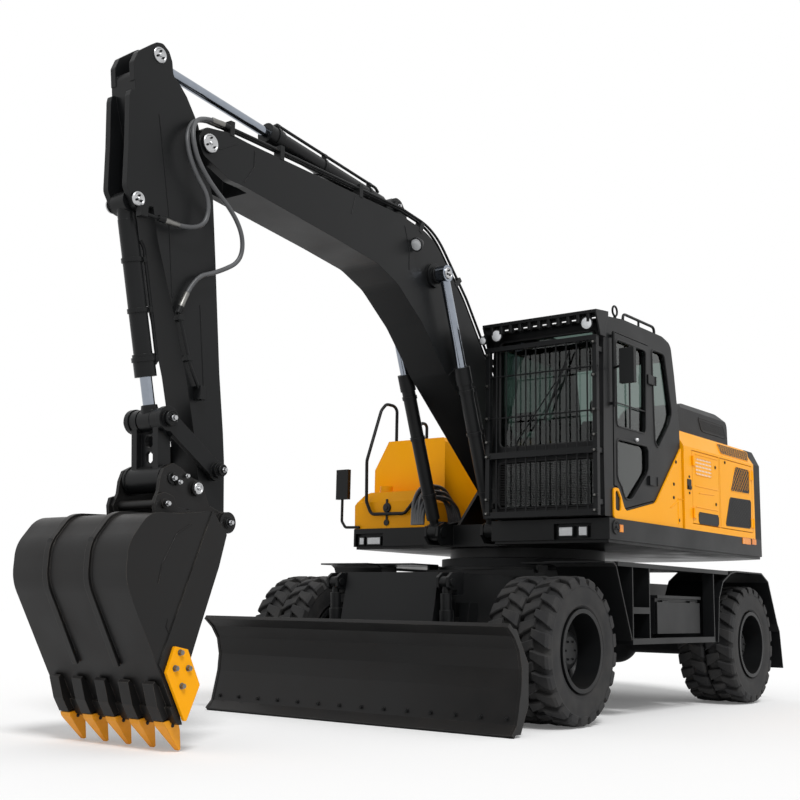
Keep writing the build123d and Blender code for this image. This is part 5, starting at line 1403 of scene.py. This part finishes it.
# %% bands, fittings and pipes of the cylinders
BAND_HALF, BAND_THICK = 13, 7
COLLAR = 9              # the last band of two barrels sits on their wider end
FEED_OFF, FEED_SIDE, FEED_R = 22, 26, 11


def band(shape, spot, way, r):
    """Clamp band round a barrel."""
    turned(shape, [(r, -BAND_HALF), (r + BAND_THICK, -BAND_HALF), (r + BAND_THICK, BAND_HALF),
                   (r, BAND_HALF)], spot, tuple(way), 28, True)


CYLINDERS = (("bucket_cylinder_barrel", BUCKET_CYL_FOOT, CROSS_PIN, 0, 54, (330, 620, 900), COLLAR),
             ("arm_cylinder_barrel", ARM_CYL_FOOT, ARM_CYL_PIN, 0, 60, (260, 760, 1240), COLLAR),
             ("boom_cylinder_barrels", BOOM_CYL_FOOT, BOOM_CYL_PIN, 264, 52, (300, 760, 1085), 0),
             ("boom_cylinder_barrels", BOOM_CYL_FOOT, BOOM_CYL_PIN, -264, 52, (300, 760, 1085), 0))
for number, (body, foot, pin, y, r, distances, collar) in enumerate(CYLINDERS):
    shape = bmesh.new()
    start, end = Vector((foot[0], y, foot[1])), Vector((pin[0], y, pin[1]))
    way = (end - start).normalized()
    spots = [start + way * distance for distance in distances]
    for spot in spots:
        band(shape, spot, way, r + (collar if spot is spots[-1] else 0))
    upper_side = Vector((way.z, 0, -way.x)) * (1 if number == 0 else -1)
    line_off = upper_side * (r + FEED_OFF) + Vector((0, FEED_SIDE if y >= 0 else -FEED_SIDE, 0))
    port = line_off * 0.78
    parts = [mesh_from("bands", shape)]
    start = spots[0] + line_off
    end = spots[-1] + line_off
    parts.append(tube_along("feed", [spots[0] - way * 110 + port, start - way * 70, start, end,
                                     end + way * 10, spots[-1] + way * 30 + port], FEED_R, 30))
    for spot in spots:
        block = bmesh.new()
        middle = spot + line_off * 0.92
        turned(block, [(0, -14), (19, -14), (19, 14), (0, 14)], middle, tuple(way), 6)
        parts.append(mesh_from("clamp", block))
    piece_from(f"cylinder_bands_{number}", joined("bands", parts), body, dark_steel, 40)
print("cylinder fittings done")

# %% painted rod eyes and centre bolts of the pins
EYE_HALF = 54
for body, foot, pin, r in (("bucket_cylinder_rod", BUCKET_CYL_FOOT, CROSS_PIN, 62),
                           ("arm_cylinder_rod", ARM_CYL_FOOT, ARM_CYL_PIN, 60)):
    shape = bmesh.new()
    middle = (pin[0], 0, pin[1])
    way = Vector((pin[0] - foot[0], 0, pin[1] - foot[1])).normalized()
    turned(shape, [(r - 6, -EYE_HALF - 1), (r + 2, -EYE_HALF + 3), (r + 2, EYE_HALF - 3),
                   (r - 6, EYE_HALF + 1)], middle, steps=32)
    turned(shape, [(30, -92), (46, -88), (50, -60), (50, -40), (30, -40)], middle, tuple(way), 24, True)
    piece_from("painted_eye_" + body, mesh_from("eye", shape), body, dark_steel, 40)
ARM_REACH = 500         # a face further out belongs to the deck, not to the arm
centre_bolts = {}
for node, (x, z), size in (("guide_links", GUIDE_PIN, 15), ("guide_links", CROSS_PIN, 17),
                           ("quick_hitch", EAR_PIN, 15), ("bucket", BUCKET_PIN, 15), ("bucket", REAR_PIN, 15),
                           ("quick_hitch", HITCH_BAR, 13), ("quick_hitch", HITCH_LOCK, 12),
                           ("upper_frame", BOOM_CYL_FOOT, 14), ("boom", ARM_CYL_FOOT, 14),
                           ("boom", BOOM_CYL_PIN, 15)):
    for side in (-1, 1):
        y = side_skin(node, side, x + 3, z).y
        if abs(y) < ARM_REACH:
            centre_bolts.setdefault(nodes[node]["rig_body"],
                                    []).append(((x, y + side * 14, z), (0, side, 0), size))
for body, places in centre_bolts.items():
    bolts("centre_bolts_" + body, body, places, turned_steel)

# %% hoses at the boom's foot
FOOT_HOSES, HOSE_PITCH, HOSE_STEP = 6, 20, 45
parts = []
for number in range(FOOT_HOSES):
    y = -356 - HOSE_PITCH * number
    lift = HOSE_STEP * (number % 3)
    parts.append(tube_along("foot_hose", [(1000, y, 1405), (990, y, 1520 + lift), (880, y, 1640 + lift),
                                          (640, y, 1640 + lift), (500, y, 1560), (470, y, 1412)], 15, 110, 4))
piece_from("boom_foot_hoses", joined("foot_hoses", parts), "upper", hose_cover, 60)
parts = []
for y in (-330, -372, -414):
    parts.append(tube_along("deck_pipe", [(800, y, 1418), (700, y, 1418), (560, y + 20, 1450),
                                          (430, y + 20, 1450)], 12, 60))
for x, y, z in ((740, -372, 1422), (600, -372, 1430)):
    shape = bmesh.new()
    box(shape, (x - 26, x + 26), (y - 60, y + 60), (z - 30, z + 22))
    eased(shape, 5)
    parts.append(mesh_from("clamp", shape))
piece_from("deck_pipes_and_clamps", joined("deck_pipes", parts), "upper", dark_steel, 50)
print("hoses done")

# %% lock of the right-hand box and lamp of the boom
BOOM_LAMP, BOOM_LAMP_WAY = (1895, 205, 3375), (0.9, 0, -0.45)
shape = bmesh.new()
spot = skin_at("fuel_tank", (1500, -952, 1583), (-1, 0, 0))
turned(shape, [(0, -2), (40, -2), (42, 6), (36, 14), (20, 16), (18, 24), (0, 24)], spot, (1, 0, 0), 28)
low_spot = skin_at("fuel_tank", (1500, -955, 1458), (-1, 0, 0))
turned(shape, [(0, -2), (26, -2), (26, 10), (0, 10)], low_spot, (1, 0, 0), 24)
box(shape, (spot.x - 1, spot.x + 9), (-962, -944), (1470, 1570))
box(shape, (spot.x - 1, spot.x + 12), (-960, -944), (1612, 1655))
piece_from("tank_lock", mesh_from("lock", shape), "upper", black_and_painted_shade, 30)
shape = bmesh.new()
turned(shape, [(0, -60), (26, -58), (48, -14), (52, -6), (52, 10), (46, 12), (44, 4), (0, 4)], BOOM_LAMP,
       BOOM_LAMP_WAY, 28)
box(shape, (1860, 1884), (160, 210), (3366, 3384))
piece_from("boom_lamp_housing", mesh_from("housing", shape), "boom", grained_abs, 30)
shape = bmesh.new()
turned(shape, [(0, 4), (43, 4), (43, 8), (26, 13), (0, 15)], BOOM_LAMP, BOOM_LAMP_WAY, 28)
piece_from("boom_lamp_lens", mesh_from("lens", shape), "boom", lamp_lens, 40)
print("lock and lamp done")

# %% steel ends of the free hoses
parts = []
for steps in (long_steps, short_steps):
    ends = ((steps[0], steps[3] - steps[0]), (steps[-1], steps[-4] - steps[-1]))
    for spot, way in ends:
        place = Vector(((spot.x - SLEW_X) * 1000, spot.y * 1000, spot.z * 1000))
        shape = bmesh.new()
        turned(shape, [(14.5, -6), (19, -4), (19, 26), (17.5, 30), (17.5, 92), (14.5, 96)], place,
               tuple(way.normalized()), 20, True)
        parts.append(mesh_from("gland", shape))
piece_from("hose_glands", joined("glands", parts), "boom", zinc_plate, 40)
print("glands done")

# %% [markdown]
# ## Walkways and the slewing ring
# Nobody may slip on a wet machine, so the decks beside the chassis are covered with raised studs, pressed
# into the plate in rows. The slewing ring is held by a full circle of bolts, one more use of the axis tree.

# %% studs on the walkways
WALK_X, WALK_Y = (-640, 140), (980, 1190)
for name, side in (("walkway_studs_right_0", -1), ("walkway_studs_left_0", 1)):
    spots = [(x, side * 1080, 1500) for x in (WALK_X[0] + 60, WALK_X[1] - 60)]
    z = max(skin_at("side_decks", spot, (0, 0, -1)).z for spot in spots)
    corners = [(x, side * y, z + 0.5) for x, y in zip((*WALK_X, *WALK_X[::-1]), sorted(WALK_Y * 2))]
    vent(name, corners, "chassis", "holes", 34, zinc_plate, 1.0, dark_steel, dark_steel)
RING_BOLTS = 48
seed = bmesh.new()
turned(seed, [(0, 1120), (11, 1120), (11, 1108), (17, 1108), (17, 1098), (0, 1098)], (690, 0, 0), (0, 0, 1),
       6)
studs = grow("ring_bolts", mesh_from("bolt", seed), around, Count=RING_BOLTS, Axis=(0, 0, 1),
             Centre=at(0, 0, 0), Finish=dark_steel)
piece_from("slew_ring_bolts", studs, "chassis", dark_steel, 30)
print("studs and ring bolts done")
